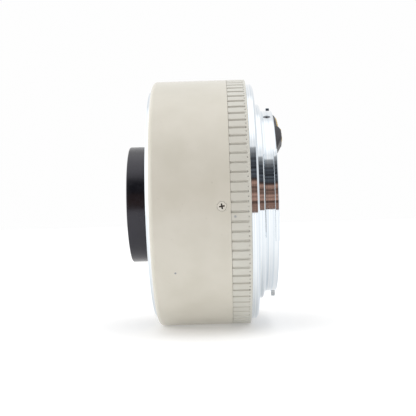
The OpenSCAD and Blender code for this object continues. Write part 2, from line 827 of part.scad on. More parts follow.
// The ramp lifts the camera's pins onto the high step as the part turns into its seat
module rear_contact_block() {
    c = edge_chamfer;
    ramp_l = 2 * ramp_run;
    color(black_colour) difference() {
        sector([[block_in_r, baffle_rear_x], [block_out_r, baffle_rear_x],
            [block_out_r, block_high - c], [block_out_r - c, block_high],
            [block_in_r + c, block_high], [block_in_r, block_high - c]], block_start, block_end);
        sector(band(block_in_r - over, block_out_r + over, block_low, block_high + over),
            block_start - over_arc, block_step);
        for (angle = low_angles)
            rod(angle, contact_r, pad_r + slip, block_low - pad_t + pad_proud, block_high + over);
        for (angle = high_angles)
            rod(angle, contact_r, pad_r + slip, block_high - pad_t + pad_proud, block_high + over);
        at(ramp_start) translate([block_high, 0, block_in_r - over]) rotate([0, 0, -ramp_slope])
            translate([0, -ramp_l, 0]) cube([ramp_l, ramp_l, block_w + 2 * over]);
        spoke(block_screw_angle, neck_screw_x, small_screw_r + slip,
            block_seat_r - block_screw_len - easy, neck_r);
    }
}

module rear_contacts() {
    color(gold_colour) {
        for (angle = low_angles)
            rod(angle, contact_r, pad_r, block_low - pad_t + pad_proud, block_low + pad_proud);
        for (angle = high_angles)
            rod(angle, contact_r, pad_r, block_high - pad_t + pad_proud, block_high + pad_proud);
    }
}

module contact_block_screw() {
    color(black_colour)
        at(block_screw_angle) translate([neck_screw_x, 0, block_seat_r])
            cheese_screw(block_head_r, block_head_t, small_screw_r, block_screw_len);
}

module shell_screws() {
    seat_r = body_r - shell_head_t;
    color(bright_colour)
        for (angle = shell_screw_angles)
            at(angle) translate([shell_screw_x, 0, seat_r])
                cheese_screw(shell_screw_head_r, shell_head_t - slip, shell_shank_r,
                    seat_r - shell_screw_end_r);
}

module rear_index_dot() {
    dome_radius = (index_r * index_r + index_dome * index_dome) / (2 * index_dome);
    color(red_colour)
        at(rear_index_angle) translate([shell_screw_x, 0, body_r]) {
            translate([0, 0, -index_t]) cylinder(r = index_r, h = index_t);
            intersection() {
                translate([0, 0, index_dome - dome_radius]) sphere(r = dome_radius);
                translate([0, 0, -index_t / 2]) cylinder(r = index_r, h = index_t + index_dome);
            }
        }
}

module lock_pin() {
    tip_x = front_x - lock_proud;
    color(bright_colour) {
        rod(lock_angle, mount_circle_r, lock_pin_r, tip_x + edge_chamfer, lock_pin_end_x);
        facing(lock_angle, mount_circle_r, tip_x, 90)
            cylinder(r1 = lock_pin_r - edge_chamfer, r2 = lock_pin_r, h = edge_chamfer);
    }
}

// The nose behind the carriage keeps the spring in line
module lock_carriage() {
    nose_gap = 1;
    nose_end_x = pocket_end_x - lock_travel - nose_gap;
    color(frame_colour) difference() {
        union() {
            at(lock_angle) translate([carriage_x, -carriage_w / 2, carriage_floor_r])
                cube([carriage_len, carriage_w, carriage_top_r - carriage_floor_r]);
            rod(lock_angle, mount_circle_r, lock_spring_r - 2 * lock_wire_r,
                carriage_back_x - over, nose_end_x);
        }
        rod(lock_angle, mount_circle_r, lock_pin_r + slip, carriage_x - over, lock_pin_end_x);
        spoke(lock_angle, slider_screw_x, small_screw_r + slip,
            mount_circle_r - easy, carriage_top_r + over);
    }
}

module release_slider() {
    side = asin(slider_w / 2 / slider_under_r);
    groove_x = slider_front_x + slider_land;
    groove_pitch = (slider_back_x - slider_land - groove_x) / (slider_grooves - 0.5);
    groove_depth = slider_h / 3;
    c = edge_chamfer;
    color(black_colour) difference() {
        union() {
            sector([[slider_under_r, slider_front_x], [slider_top_r - c, slider_front_x],
                [slider_top_r, slider_front_x + c], [slider_top_r, slider_back_x - c],
                [slider_top_r - c, slider_back_x], [slider_under_r, slider_back_x]],
                lock_angle - side, lock_angle + side);
            at(lock_angle) translate([stem_x, -stem_w / 2, carriage_top_r])
                cube([stem_len, stem_w, slider_under_r - carriage_top_r + groove_depth]);
        }
        for (i = [0:slider_grooves - 1])
            sector(band(slider_top_r - groove_depth, slider_top_r + over,
                groove_x + groove_pitch * i, groove_x + groove_pitch * (i + 0.5)),
                lock_angle - side - over_arc, lock_angle + side + over_arc);
        spoke(lock_angle, slider_screw_x, small_screw_r + slip, carriage_top_r - over, slider_top_r + over);
        spoke(lock_angle, slider_screw_x, small_head_r + slip, slider_under_r, slider_top_r + over);
    }
}

module slider_screw() {
    color(bright_colour)
        at(lock_angle) translate([slider_screw_x, 0, slider_under_r])
            cheese_screw(small_head_r, small_head_t, small_screw_r, slider_under_r - mount_circle_r);
}

module lock_spring() {
    color(bright_colour)
        facing(lock_angle, mount_circle_r, carriage_back_x, 90)
            coil(lock_spring_r, lock_wire_r, lock_spring_len, lock_turns);
}

barrel_shell();
grip_ring();
chassis();
front_mount_ring();
bayonet_spring();
stop_pin();
front_mount_screws();
front_index_dot();
front_contact_block();
front_contact_pins();
front_contact_springs();
lens_tube();
front_lens();
doublet_crown();
doublet_flint();
middle_lens();
rear_lens();
front_spacer();
middle_spacer();
rear_spacer();
front_retainer();
tube_screws();
circuit_board();
control_chip();
board_screws();
flex_strip();
rear_mount();
rear_mount_screws();
mount_shim();
rear_baffle();
rear_contact_block();
rear_contacts();
contact_block_screw();
shell_screws();
rear_index_dot();
lock_pin();
lock_carriage();
release_slider();
slider_screw();
lock_spring();
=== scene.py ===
# %% [markdown]
# # A camera teleconverter, dressed for its picture
# The part is a short optical tube with a lens bayonet in front, a camera bayonet behind and five glass
# elements between them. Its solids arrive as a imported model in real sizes. This lesson adds what the eye
# wants on top: softened edges, turned metal, enamel, glass, light and a camera. Nothing is moved or
# resized, so every new piece is worked out in the same millimetres as the solid that it stands for.

import bpy
import numpy as np
from mathutils import Matrix, Vector


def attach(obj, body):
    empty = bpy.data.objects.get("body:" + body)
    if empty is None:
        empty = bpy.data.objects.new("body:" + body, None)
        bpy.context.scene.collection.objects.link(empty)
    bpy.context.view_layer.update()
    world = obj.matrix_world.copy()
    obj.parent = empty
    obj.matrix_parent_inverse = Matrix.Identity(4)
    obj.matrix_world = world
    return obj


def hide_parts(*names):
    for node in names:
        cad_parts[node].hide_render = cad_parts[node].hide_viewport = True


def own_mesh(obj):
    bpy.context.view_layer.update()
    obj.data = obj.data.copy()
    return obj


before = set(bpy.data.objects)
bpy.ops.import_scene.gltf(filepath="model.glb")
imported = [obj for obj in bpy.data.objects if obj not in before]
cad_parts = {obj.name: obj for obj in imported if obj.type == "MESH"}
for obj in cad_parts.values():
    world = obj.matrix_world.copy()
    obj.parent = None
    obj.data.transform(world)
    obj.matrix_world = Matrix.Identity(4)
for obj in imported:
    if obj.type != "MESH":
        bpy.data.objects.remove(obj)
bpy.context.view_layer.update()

# %% [markdown]
# ## Where a point is
# Nearly everything here is turned on a lathe about the optical axis, so a place is easiest to say as a
# station along the axis, a radius and an angle. The axis is X and runs to the camera body. The angle
# starts at the top and grows towards the viewer, who stands at -Y.

# %% Stations, radii and angles
def place(x, r, angle):
    """Point at station x, radius r and an angle in degrees from the top: (x, -r sin angle, r cos angle)."""
    x, r, turn = np.broadcast_arrays(np.asarray(x, float), r, np.radians(angle))
    return np.stack([x, -r * np.sin(turn), r * np.cos(turn)], -1)


print("nearest point of a 33.8 mm barrel:", place(0, 33.8, 90).round(2))

# %% [markdown]
# ## Shapes as arrays
# A shape is a pair of arrays: points in millimetres, and faces as rows of four point numbers. A triangle
# repeats its last number. Blender could build the same things with its own operators, but an array says
# the form as a formula, runs in an instant and gives the same mesh each time.

# %% Grids and joined shapes
def quads(rows, cols, loop_rows=False, loop_cols=False):
    """Faces between neighbouring points of a rows x cols grid, closed round where a side loops."""
    i, j = np.meshgrid(np.arange(rows - (not loop_rows)), np.arange(cols - (not loop_cols)), indexing="ij")
    i2, j2 = (i + 1) % rows, (j + 1) % cols
    return np.stack([i * cols + j, i * cols + j2, i2 * cols + j2, i2 * cols + j], -1).reshape(-1, 4)


def join(shapes):
    """Several shapes as one: points stacked, and face numbers moved on by the points before them."""
    starts = np.cumsum([0] + [len(points) for points, _ in shapes])
    return (np.concatenate([points for points, _ in shapes]),
            np.concatenate([faces + start for (_, faces), start in zip(shapes, starts)]))


def outward(points, faces):
    """The closed shape with faces outward: its volume, summed over tetrahedra to the origin, is positive."""
    a, b, c, d = (points[faces[:, k]] for k in range(4))
    volume = (a * np.cross(b, c)).sum() + (a * np.cross(c, d)).sum()
    return points, faces if volume > 0 else faces[:, [1, 0, 3, 2]]


print("a 3 x 4 grid has", len(quads(3, 4)), "faces")

# %% [markdown]
# Two ways to close a shape cover most of the small pieces. Loops of equal length stack up like the rings
# of a barrel and close in a fan at each end. Two grids face each other and are joined by walls, which
# makes a box with any surface for its lid.

# %% Stacked loops and lidded boxes
def stacked(loops):
    """Closed shape from loops of equal length, each joined to the next; the first and last close in a fan."""
    loops = np.asarray(loops, float)
    rows, cols = loops.shape[:2]
    points = np.concatenate([loops.reshape(-1, 3), loops[[0, -1]].mean(1)])
    k, end, tip = np.arange(cols), (rows - 1) * cols, np.full(cols, rows * cols)
    k2 = (k + 1) % cols
    fans = [np.stack([k2, k, tip, tip], -1), np.stack([end + k, end + k2, tip + 1, tip + 1], -1)]
    return outward(points, np.concatenate([quads(rows, cols, False, True), *fans]))


def between(top, bottom):
    """Closed box from two grids of the same size: both as faces, and walls between their edges."""
    rows, cols = top.shape[:2]
    number = np.arange(rows * cols).reshape(rows, cols)
    rim = np.concatenate([number[0, :-1], number[:-1, -1], number[-1, :0:-1], number[:0:-1, 0]])
    rim2, low, lid = np.roll(rim, -1), rows * cols, quads(rows, cols)
    walls = np.stack([rim2, rim, rim + low, rim2 + low], -1)
    points = np.concatenate([top.reshape(-1, 3), bottom.reshape(-1, 3)])
    return outward(points, np.concatenate([lid, lid[:, [1, 0, 3, 2]] + low, walls]))


# %% [markdown]
# A finished shape becomes one Blender object at the origin, with its place in its mesh. Faces are shaded
# smooth and only edges sharper than an angle stay crisp, so that a turned face shows no facets while a
# step still reads as a step. A modifier lets large faces outweigh the small ones of a rounded edge, which
# keeps a flat face flat in a reflection. Each object rides the body that carries it and stands for its
# CAD node.

# %% From arrays to an object
MM = 0.001


def make(name, shape, finish, *nodes, body="housing", crisp=32):
    """Mesh object of a shape in its finish; it stands for the named nodes and moves with a body."""
    points, faces = shape
    flat = faces[:, 2] == faces[:, 3]
    counts = np.where(flat, 3, 4)
    keep = np.ones(faces.shape, bool)
    keep[flat, 3] = False
    mesh = bpy.data.meshes.new(name)
    mesh.vertices.add(len(points))
    mesh.vertices.foreach_set("co", (points * MM).astype(np.float32).ravel())
    mesh.loops.add(int(counts.sum()))
    mesh.loops.foreach_set("vertex_index", faces[keep].astype(np.int32))
    mesh.polygons.add(len(faces))
    mesh.polygons.foreach_set("loop_start", (np.cumsum(counts) - counts).astype(np.int32))
    mesh.polygons.foreach_set("use_smooth", np.ones(len(faces), bool))
    mesh.update(calc_edges=True)
    mesh.set_sharp_from_angle(angle=np.radians(crisp))
    mesh.materials.append(finish["material"])
    piece = bpy.data.objects.new(name, mesh)
    bpy.context.scene.collection.objects.link(piece)
    even = piece.modifiers.new("even faces", "WEIGHTED_NORMAL")
    even.keep_sharp = True
    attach(piece, body)
    if nodes:
        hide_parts(*nodes)
    print(f"{name}: {len(points)} points, {counts.sum() - 2 * len(faces)} triangles")
    return piece


# %% [markdown]
# ## Colours and shader nodes
# A colour is written as the sRGB hex value that an eye or a colour picker reads, and one function turns
# it to the linear light that the renderer adds up. A finish starts as a Principled shader fed by the
# piece's own coordinates in metres. One more function adds a shader node, sets what it is told and links
# what it is given, so that each finish below reads as a short list of layers.

# %% Hex to linear, and one node at a time
def linear(code):
    """Linear RGBA of an sRGB hex value: v / 12.92 near black, else ((v + 0.055) / 1.055) to the power 2.4."""
    v = np.array([int(code[k:k + 2], 16) for k in (1, 3, 5)]) / 255
    return (*np.where(v <= 0.04045, v / 12.92, ((v + 0.055) / 1.055) ** 2.4), 1.0)


def start(name, slot, **values):
    """New finish: a material named for the real one, its record slot, and fixed values of its shader."""
    material = bpy.data.materials.new(name)
    material.use_nodes = True
    tree = material.node_tree
    shader = tree.nodes["Principled BSDF"]
    for key, value in values.items():
        value = linear(value) if isinstance(value, str) else value
        shader.inputs[key.replace("_", " ")].default_value = value
    return {"material": material, "slot": slot, "tree": tree, "shader": shader,
            "coords": tree.nodes.new("ShaderNodeTexCoord").outputs["Object"]}


def add(finish, kind, inputs, out=0, **settings):
    """Adds a node of a kind; settings are its properties, inputs are numbers, hex colours or sockets."""
    node = finish["tree"].nodes.new("ShaderNode" + kind)
    for key, value in settings.items():
        setattr(node, key, value)
    for key, value in inputs.items():
        if isinstance(value, bpy.types.NodeSocket):
            finish["tree"].links.new(value, node.inputs[key])
        else:
            node.inputs[key].default_value = linear(value) if isinstance(value, str) else value
    return node.outputs[out]


def feed(finish, **sockets):
    """Links sockets to the shader's inputs of those names."""
    for key, socket in sockets.items():
        finish["tree"].links.new(socket, finish["shader"].inputs[key.replace("_", " ")])


print("mid grey #808080 is", round(linear("#808080")[0], 3), "in linear light")

# %% [markdown]
# ## Turned rings with drilled holes
# A lathe piece is an outline of stations and radii carried round the axis. No real edge is perfectly
# sharp, and it is the small round on an edge that catches the light, so each corner of an outline is
# swapped for an arc first.

# %% Outlines with rounded corners
def soften(corners, radii=0.12, steps=4):
    """Closed outline with an arc at each corner: a rational quadratic curve between the points that lie
    radius / tan(half angle) along both edges, weighted by sin(half angle), which is an exact circle."""
    corner = np.asarray(corners, float)
    back, ahead = np.roll(corner, 1, 0) - corner, np.roll(corner, -1, 0) - corner
    back_len, ahead_len = (np.linalg.norm(edge, axis=1, keepdims=True) for edge in (back, ahead))
    back, ahead = back / back_len, ahead / ahead_len
    half = np.arccos(np.clip((back * ahead).sum(1, keepdims=True), -1, 1)) / 2
    radii = np.broadcast_to(radii, len(corner))[:, None]
    reach = np.minimum(radii / np.tan(half), 0.49 * np.minimum(back_len, ahead_len))
    t = np.linspace(0, 1, steps + 1)[None, :, None]
    first, middle, last = (1 - t) ** 2, 2 * np.sin(half)[:, None] * t * (1 - t), t ** 2
    arc = (first * (corner + back * reach)[:, None] + middle * corner[:, None]
           + last * (corner + ahead * reach)[:, None])
    return (arc / (first + middle + last)).reshape(-1, 2)


print("a softened square has", len(soften([(0, 0), (1, 0), (1, 1), (0, 1)])), "points")

# %% [markdown]
# A screw hole in such a ring could be cut with a Boolean modifier, but that leaves long thin faces which
# shade badly on polished metal. Here a window is left open in the grid instead, and loops of points run
# from the window's rim to the hole's edge and on down its wall. First comes the description of a hole,
# and the extra rows and columns that its window needs.

# %% Holes, and the rows and columns of their windows
SPREAD = np.linspace(-1, 1, 9)
SIDE, REAR, FRONT = (np.array(way, float) for way in ((0, -1), (-1, 0), (1, 0)))


def hole(x, r, angle, half, loops, into, through=None, slot=False):
    """Hole at a station, radius and angle; half is its window's half size along the outline and round the
    axis, loops are (size, depth) pairs, and through is the (x, r) where it comes out. Windows side by side on
    one face have the same size along the outline, so that they share their rows."""
    middles = [np.array([x, r])] + ([] if through is None else [np.array(through)])
    return {"middles": middles, "angle": angle, "half": np.array(half), "loops": loops, "into": into,
            "slot": slot}


def window_rows(cut, middle):
    """Outline points (x, r) of a window's rows, along the edge that the hole is drilled into."""
    return middle + np.outer(SPREAD * cut["half"][0], np.abs(cut["into"][::-1]))


def window_angles(cut):
    """Angles of a window's columns."""
    return cut["angle"] + np.degrees(SPREAD * cut["half"][1] / cut["middles"][0][1])


def ruled(outline, holes, columns):
    """Outline and angles with the windows' lines put in, and the plain lines near them left out."""
    angles = np.linspace(0, 360, columns, endpoint=False)
    for cut in holes:
        mine = window_angles(cut)
        angles = np.append(angles[(angles < mine[0] - 0.3) | (angles > mine[-1] + 0.3)], mine)
        for middle in cut["middles"]:
            rows, ahead = window_rows(cut, middle), np.roll(outline, -1, 0) - outline
            if np.abs(outline - rows[0]).sum(1).min() > 1e-6:
                share = ((middle - outline) * ahead).sum(1) / (ahead ** 2).sum(1)
                miss = np.abs(outline + share[:, None] * ahead - middle).sum(1)
                edge = int(np.where((share < 0) | (share > 1), np.inf, miss).argmin())
                rows = rows[np.argsort((rows - outline[edge]) @ ahead[edge])]
                outline = np.insert(outline, edge + 1, rows, axis=0)
    return outline, np.unique(angles.round(7))


# %% [markdown]
# A round hole's points lie on rays from its middle, and a slot's are the window's rim drawn smaller. On
# the curved wall of a barrel they are lifted onto the cylinder. A hole that goes right through ends on
# the rim of a second window in the far wall, and a blind one closes in a fan.

# %% Loops of a hole
def drilled(cut, rim):
    """Loops from a window's rim inward: one half way to the edge, then one for each (size, depth)."""
    (x, r), angle, axis = cut["middles"][0], cut["angle"], np.array([1.0, 0, 0])
    up, across, middle = place(0, 1, angle), place(0, 1, angle + 90), place(x, r, angle)
    on_side = cut["into"][0] == 0
    ahead = axis if on_side else up
    flat = np.stack([(rim - middle) @ across, (rim - middle) @ ahead], -1)
    unit = flat / (cut["half"][::-1] if cut["slot"] else np.linalg.norm(flat, axis=1, keepdims=True))
    sizes = np.array([size for size, _ in cut["loops"]], float).reshape(len(cut["loops"]), 1, -1)
    outlines = np.concatenate([[(flat + unit * sizes[0]) / 2], unit * sizes])
    depth = np.array([0.0] + [deep for _, deep in cut["loops"]])[:, None, None]
    lift = np.sqrt(r * r - outlines[..., :1] ** 2) - r if on_side else 0.0
    return (middle + outlines[..., :1] * across + outlines[..., 1:] * ahead + lift * up
            + depth * (cut["into"][0] * axis + cut["into"][1] * up))


def turned(outline, holes=(), columns=288):
    """Closed ring: each outline point (x, r) at each angle, with every hole's window filled by its loops."""
    outline, angles = ruled(outline, holes, columns)
    points = [place(outline[:, :1], outline[:, 1:], angles).reshape(-1, 3)]
    number = np.arange(len(points[0])).reshape(len(outline), -1)
    shown, faces = np.ones(number.shape, bool), []
    for cut in holes:
        cols = np.searchsorted(angles, window_angles(cut) - 1e-4)
        rows = [np.abs(outline - row[:, None]).sum(2).argmin(1)
                for row in (window_rows(cut, middle) for middle in cut["middles"])]
        rows = [row[::-1] for row in rows] if rows[0][0] > rows[0][-1] else rows
        rims = [np.concatenate([number[row[0], cols[:-1]], number[row[:-1], cols[-1]],
                                number[row[-1], cols[:0:-1]], number[row[:0:-1], cols[0]]]) for row in rows]
        for row in rows:
            shown[row.min():row.max(), cols[0]:cols[-1]] = False
        loops, first = drilled(cut, points[0][rims[0]]), sum(map(len, points))
        points += [loops.reshape(-1, 3), loops[-1].mean(0, keepdims=True)[len(rims) - 1:]]
        chain = [rims[0], *(first + np.arange(loops[..., 0].size).reshape(loops.shape[:2])), *rims[1:]]
        if len(rims) == 1:
            chain.append(np.full(len(rims[0]), first + loops[..., 0].size))
        faces += [np.stack([near, np.roll(near, -1), np.roll(far, -1), far], -1)
                  for near, far in zip(chain, chain[1:])]
    grid = quads(*number.shape, True, True)[shown.ravel()]
    return outward(np.concatenate(points), np.concatenate([grid, *faces]))


# %% [markdown]
# ## Marks of use
# A few small marks on the near side are worth keeping: a nick low on the shell and a bluish speck on the
# grip, which tell that the piece has been used, and a dark grey spot on the end of a lug. Each is a soft spot
# round one point, so its share of the colour is a step on the distance from that point.

# %% A mark at a place
def nick(finish, x, angle, r, radius, most):
    """Share of a small round mark: most at a place, 0 from radius millimetres on."""
    spot = tuple(place(x, r, angle) * MM)
    away = add(finish, "VectorMath", {0: finish["coords"], 1: spot}, out=1, operation="DISTANCE")
    return add(finish, "MapRange", {"Value": away, "From Min": 0.4 * radius * MM, "From Max": radius * MM,
                                    "To Min": most, "To Max": 0.0})


# %% [markdown]
# ## Enamel
# The barrel wears a satin enamel in warm off-white, sprayed and baked on metal. Up close it is not one
# colour: the coat is a little thicker here and thinner there, its skin has the fine ripple that painters
# call orange peel, and handling leaves faint grey specks. The ripple is finer than the picture can show,
# so it is drawn at half a millimetre.

# %% Satin enamel
def enamel(name, thin, thick, mark, painted_shade=None):
    """Satin enamel: a clear coat over a ground that drifts between two tones, with specks, one mark and,
    where a share is given, painted shade.
    """
    finish = start(name, "paint", IOR=1.5, Coat_Weight=0.6, Coat_Roughness=0.25)
    coords = finish["coords"]
    drift = add(finish, "TexNoise", {"Vector": coords, "Scale": 1 / (7 * MM), "Detail": 4.0})
    tone = add(finish, "MapRange", {"Value": drift, "From Min": 0.35, "From Max": 0.65})
    colour = add(finish, "MixRGB", {"Fac": tone, "Color1": thin, "Color2": thick})
    fleck = add(finish, "TexNoise", {"Vector": coords, "Scale": 1 / (1.1 * MM), "Detail": 1.0})
    specks = add(finish, "MapRange", {"Value": fleck, "From Min": 0.74, "From Max": 0.82, "To Max": 0.2})
    colour = add(finish, "MixRGB", {"Fac": specks, "Color1": colour, "Color2": "#a39d90"})
    # Painted shade: where a share is given, the hollows are darkened towards #4a443b.
    if painted_shade:
        colour = add(finish, "MixRGB", {"Fac": painted_shade(finish), "Color1": colour, "Color2": "#4a443b"})
    colour = add(finish, "MixRGB", {"Fac": nick(finish, *mark), "Color1": colour, "Color2": "#6a7180"})
    peel = add(finish, "TexNoise", {"Vector": coords, "Scale": 1 / (0.5 * MM), "Detail": 2.0})
    ripple = add(finish, "Bump", {"Height": peel, "Strength": 0.1, "Distance": 0.05 * MM})
    dull = add(finish, "MapRange", {"Value": drift, "From Min": 0.3, "From Max": 0.7,
                                    "To Min": 0.4, "To Max": 0.5})
    feed(finish, Base_Color=colour, Roughness=dull, Normal=ripple)
    return finish


BODY_R = 33.8
shell_enamel = enamel("satin enamel", "#cecabd", "#d3cfc3", (-21.0, 121.0, BODY_R, 0.35, 0.85))
print("enamel layers:", len(shell_enamel["tree"].nodes))

# %% [markdown]
# ## The barrel shell
# On the real part this is a turned tube with a generous round on its front edge. Three screws hold it to
# the frame inside, each sunk in a counterbore. A red dot sits in a shallow pocket, and the stem of the
# lens release runs in a slot. The slot goes right through the wall, because the stem has to.

# %% Barrel shell
SCREW_X, SCREW_ANGLES, INDEX_ANGLE, LOCK_ANGLE = -9.15, 92.2 + 120 * np.arange(3), 265, 295
SLOT_X, SHELL_BORE, LIP_REAR = -17.75, 32.0, -25.7
counterbore = [(1.26, 0.0), (1.2, 0.05), (1.2, 0.9)]
pocket = [(1.2, 0.0), (1.15, 0.04), (1.15, 0.5)]
slot_wall = [((2.28, 3.03), 0.0), ((2.2, 2.95), 0.08), ((2.2, 2.95), 1.8)]
shell_holes = [hole(SCREW_X, BODY_R, angle, (1.8, 1.8), counterbore, SIDE) for angle in SCREW_ANGLES]
shell_holes += [hole(SCREW_X, BODY_R, INDEX_ANGLE, (1.8, 1.8), pocket, SIDE),
                hole(SLOT_X, BODY_R, LOCK_ANGLE, (3.5, 2.7), slot_wall, SIDE,
                     through=(SLOT_X, SHELL_BORE), slot=True)]
shell_outline = soften([(-26.9, 31.4), (-26.9, BODY_R), (-7.0, BODY_R), (-7.0, SHELL_BORE),
                        (LIP_REAR, SHELL_BORE), (LIP_REAR, 31.4)], [0.1, 1.3, 0.06, 0.05, 0.1, 0.1], steps=8)
make("shell_enamelled", turned(shell_outline, shell_holes), shell_enamel, "barrel_shell")

# %% [markdown]
# ## The grip ring
# Behind the shell comes a fixed ring with 88 narrow grooves, which end at a thin plain rim. The grooves
# could be cut with a Boolean or an array of cutters. A formula is lighter: the ring's radius drops to the
# groove's floor wherever a soft step across the groove and a soft step along it are both one. The columns
# crowd at the groove's shoulders, where the form bends.

# %% Grooved ring
RIBS, GROOVE_FIRST, GROOVE_FLOOR, GROOVE_END = 88, 25.0, 33.42, -2.5


def soft_step(value, low, high):
    """0 below low, 1 above high and 3t^2 - 2t^3 between."""
    t = np.clip((value - low) / (high - low), 0, 1)
    return t * t * (3 - 2 * t)


def grooved(front, rear, inner):
    """Ring whose outer radius is the outline's, less its height over the floor times both steps, and less
    a row of dimples, exp(-distance squared), at each groove's end and half way to the next."""
    outline = soften([(front, inner), (front, BODY_R), (rear, BODY_R), (rear, inner)],
                     [0.05, 0.12, 0.15, 0.1])
    stations = GROOVE_END + np.r_[np.linspace(-3.8, -0.7, 6), -0.5, -0.38, -0.28, -0.2,
                                  -0.12, -0.04, 0.04, 0.12]
    outline = np.insert(outline, 10, np.stack([stations, 0 * stations + BODY_R], 1), axis=0)
    pitch = 2 * np.pi * BODY_R / RIBS
    half = np.r_[0.06, 0.12, 0.18, 0.24, 0.3, 0.36, 0.42, 0.5, 0.72,
                 pitch / 2 - np.array([0.32, 0.22, 0.14, 0.07])]
    across = np.r_[-half[::-1], 0, half, pitch / 2]
    turn = GROOVE_FIRST + 360 / RIBS * np.arange(RIBS)[:, None] + np.degrees(across / BODY_R)
    off = np.abs(across)
    cut, beside = 1 - soft_step(off, 0.08, 0.42), np.minimum(off, pitch / 2 - off)
    x, r = outline.T[:, :, None]
    fade = 1 - soft_step(x, GROOVE_END - 0.45, GROOVE_END)
    dimple = 0.16 * np.exp(-(beside / 0.2) ** 2 - ((x - GROOVE_END + 0.15) / 0.2) ** 2)
    drop = np.maximum((BODY_R - GROOVE_FLOOR) * cut * fade, dimple * (r > BODY_R - 0.2))
    radius = np.maximum(r - np.tile(drop, RIBS), np.minimum(r, GROOVE_FLOOR))
    points = place(x, radius, turn.ravel())
    return outward(points.reshape(-1, 3), quads(*points.shape[:2], True, True))


# %% [markdown]
# The grooves, and most of all the small dimples at their rear ends, are darkened with painted shade. It is a
# step on the distance from the axis, and a stronger one in the band of the dimples, where noise makes some
# darker than others.

# %% Grip ring
def sunk(finish, high, low, most):
    """Share of painted shade in a hollow: 0 at a high radius from the axis and most at a low one."""
    across = add(finish, "VectorMath", {0: finish["coords"], 1: (0, 1, 1)}, operation="MULTIPLY")
    radius = add(finish, "VectorMath", {0: across}, out=1, operation="LENGTH")
    return add(finish, "MapRange", {"Value": radius, "From Min": high * MM, "From Max": low * MM,
                                    "To Max": most})


def painted_groove_shade(finish):
    """Share of painted shade: a little in the grooves, and more in the dimples at their rear ends."""
    station = add(finish, "SeparateXYZ", {"Vector": finish["coords"]})
    band = add(finish, "Math", {0: station, 1: -2.62 * MM, 2: 0.22 * MM}, operation="COMPARE")
    uneven = add(finish, "TexNoise", {"Vector": finish["coords"], "Scale": 1 / (2.5 * MM), "Detail": 1.0})
    uneven = add(finish, "MapRange", {"Value": uneven, "From Min": 0.4, "From Max": 0.6, "To Min": 0.2})
    # Painted shade in the dimples at the grooves' rear ends, made uneven by noise.
    dimple_shade = add(finish, "Math", {0: sunk(finish, 33.76, 33.67, 0.75), 1: band}, operation="MULTIPLY")
    dimple_shade = add(finish, "Math", {0: dimple_shade, 1: uneven}, operation="MULTIPLY")
    return add(finish, "Math", {0: sunk(finish, 33.72, 33.5, 0.1), 1: dimple_shade}, operation="MAXIMUM")


# The grip's enamel carries painted shade in its grooves and dimples.
grip_enamel = enamel("satin enamel, handled", "#c9c7bd", "#cecdc4", (-6.0, 96.5, BODY_R, 0.42, 0.6), painted_groove_shade)
make("grip_enamelled", grooved(-6.96, -2.0, SHELL_BORE), grip_enamel, "grip_ring")

# %% [markdown]
# ## Chrome
# Both mounts are brass under chrome plate, turned and then polished. Chrome is a bright, slightly blue
# mirror. What makes it read as metal is that the tool's marks still run round it: they stretch each
# reflection into streaks along the turning. The marks are a few microns apart, so they are drawn at a
# quarter of a millimetre, as noise that changes with the station and the radius but not round the axis.

# %% Chrome plate on brass
def metal(name, slot, dark, bright, roughness, marks_mm, depth):
    """Turned metal: a mirror in the metal's colour, with fine marks round the axis that tilt and dim it."""
    finish = start(name, slot, Metallic=1.0)
    parts = add(finish, "SeparateXYZ", {"Vector": finish["coords"]}).node.outputs
    ring = add(finish, "CombineXYZ", {"Y": parts["Y"], "Z": parts["Z"]})
    radius = add(finish, "VectorMath", {0: ring}, out=1, operation="LENGTH")
    lathe = add(finish, "CombineXYZ", {"X": parts["X"], "Y": radius})
    marks = add(finish, "TexNoise", {"Vector": lathe, "Scale": 1 / (marks_mm * MM), "Detail": 3.0})
    bump = add(finish, "Bump", {"Height": marks, "Strength": depth, "Distance": 0.02 * MM})
    cloud = add(finish, "TexNoise", {"Vector": finish["coords"], "Scale": 1 / (4 * MM), "Detail": 3.0})
    dull = add(finish, "MapRange", {"Value": cloud, "From Min": 0.3, "From Max": 0.7,
                                    "To Min": roughness * 0.8, "To Max": roughness * 1.25})
    tone = add(finish, "MapRange", {"Value": marks, "From Min": 0.35, "From Max": 0.6})
    finish["colour"] = add(finish, "MixRGB", {"Fac": tone, "Color1": dark, "Color2": bright})
    feed(finish, Base_Color=finish["colour"], Roughness=dull, Normal=bump)
    return finish


chrome = metal("chrome plate on brass", "chrome", "#d2dbe3", "#ebeff2", 0.06, 0.35, 0.25)
# A dark grey spot on the end of one lug.
spotted = add(chrome, "MixRGB", {"Fac": nick(chrome, 4.65, 181, 25.9, 1.1, 0.6),
                                 "Color1": chrome["colour"], "Color2": "#615f5b"})
feed(chrome, Base_Color=spotted)
steel = metal("stainless steel", "steel", "#a9acb0", "#bcbfc2", 0.28, 0.2, 0.2)

# %% [markdown]
# ## The camera mount
# This is the bright end of the part: a flange that seats on the camera, a locating ring, a thin neck and
# three lugs that turn in behind the camera's own. Its steps are lit edge by edge, so each gets the round
# that a file leaves. Four countersunk screws, the lock's hole and the contact block's screw are drilled.

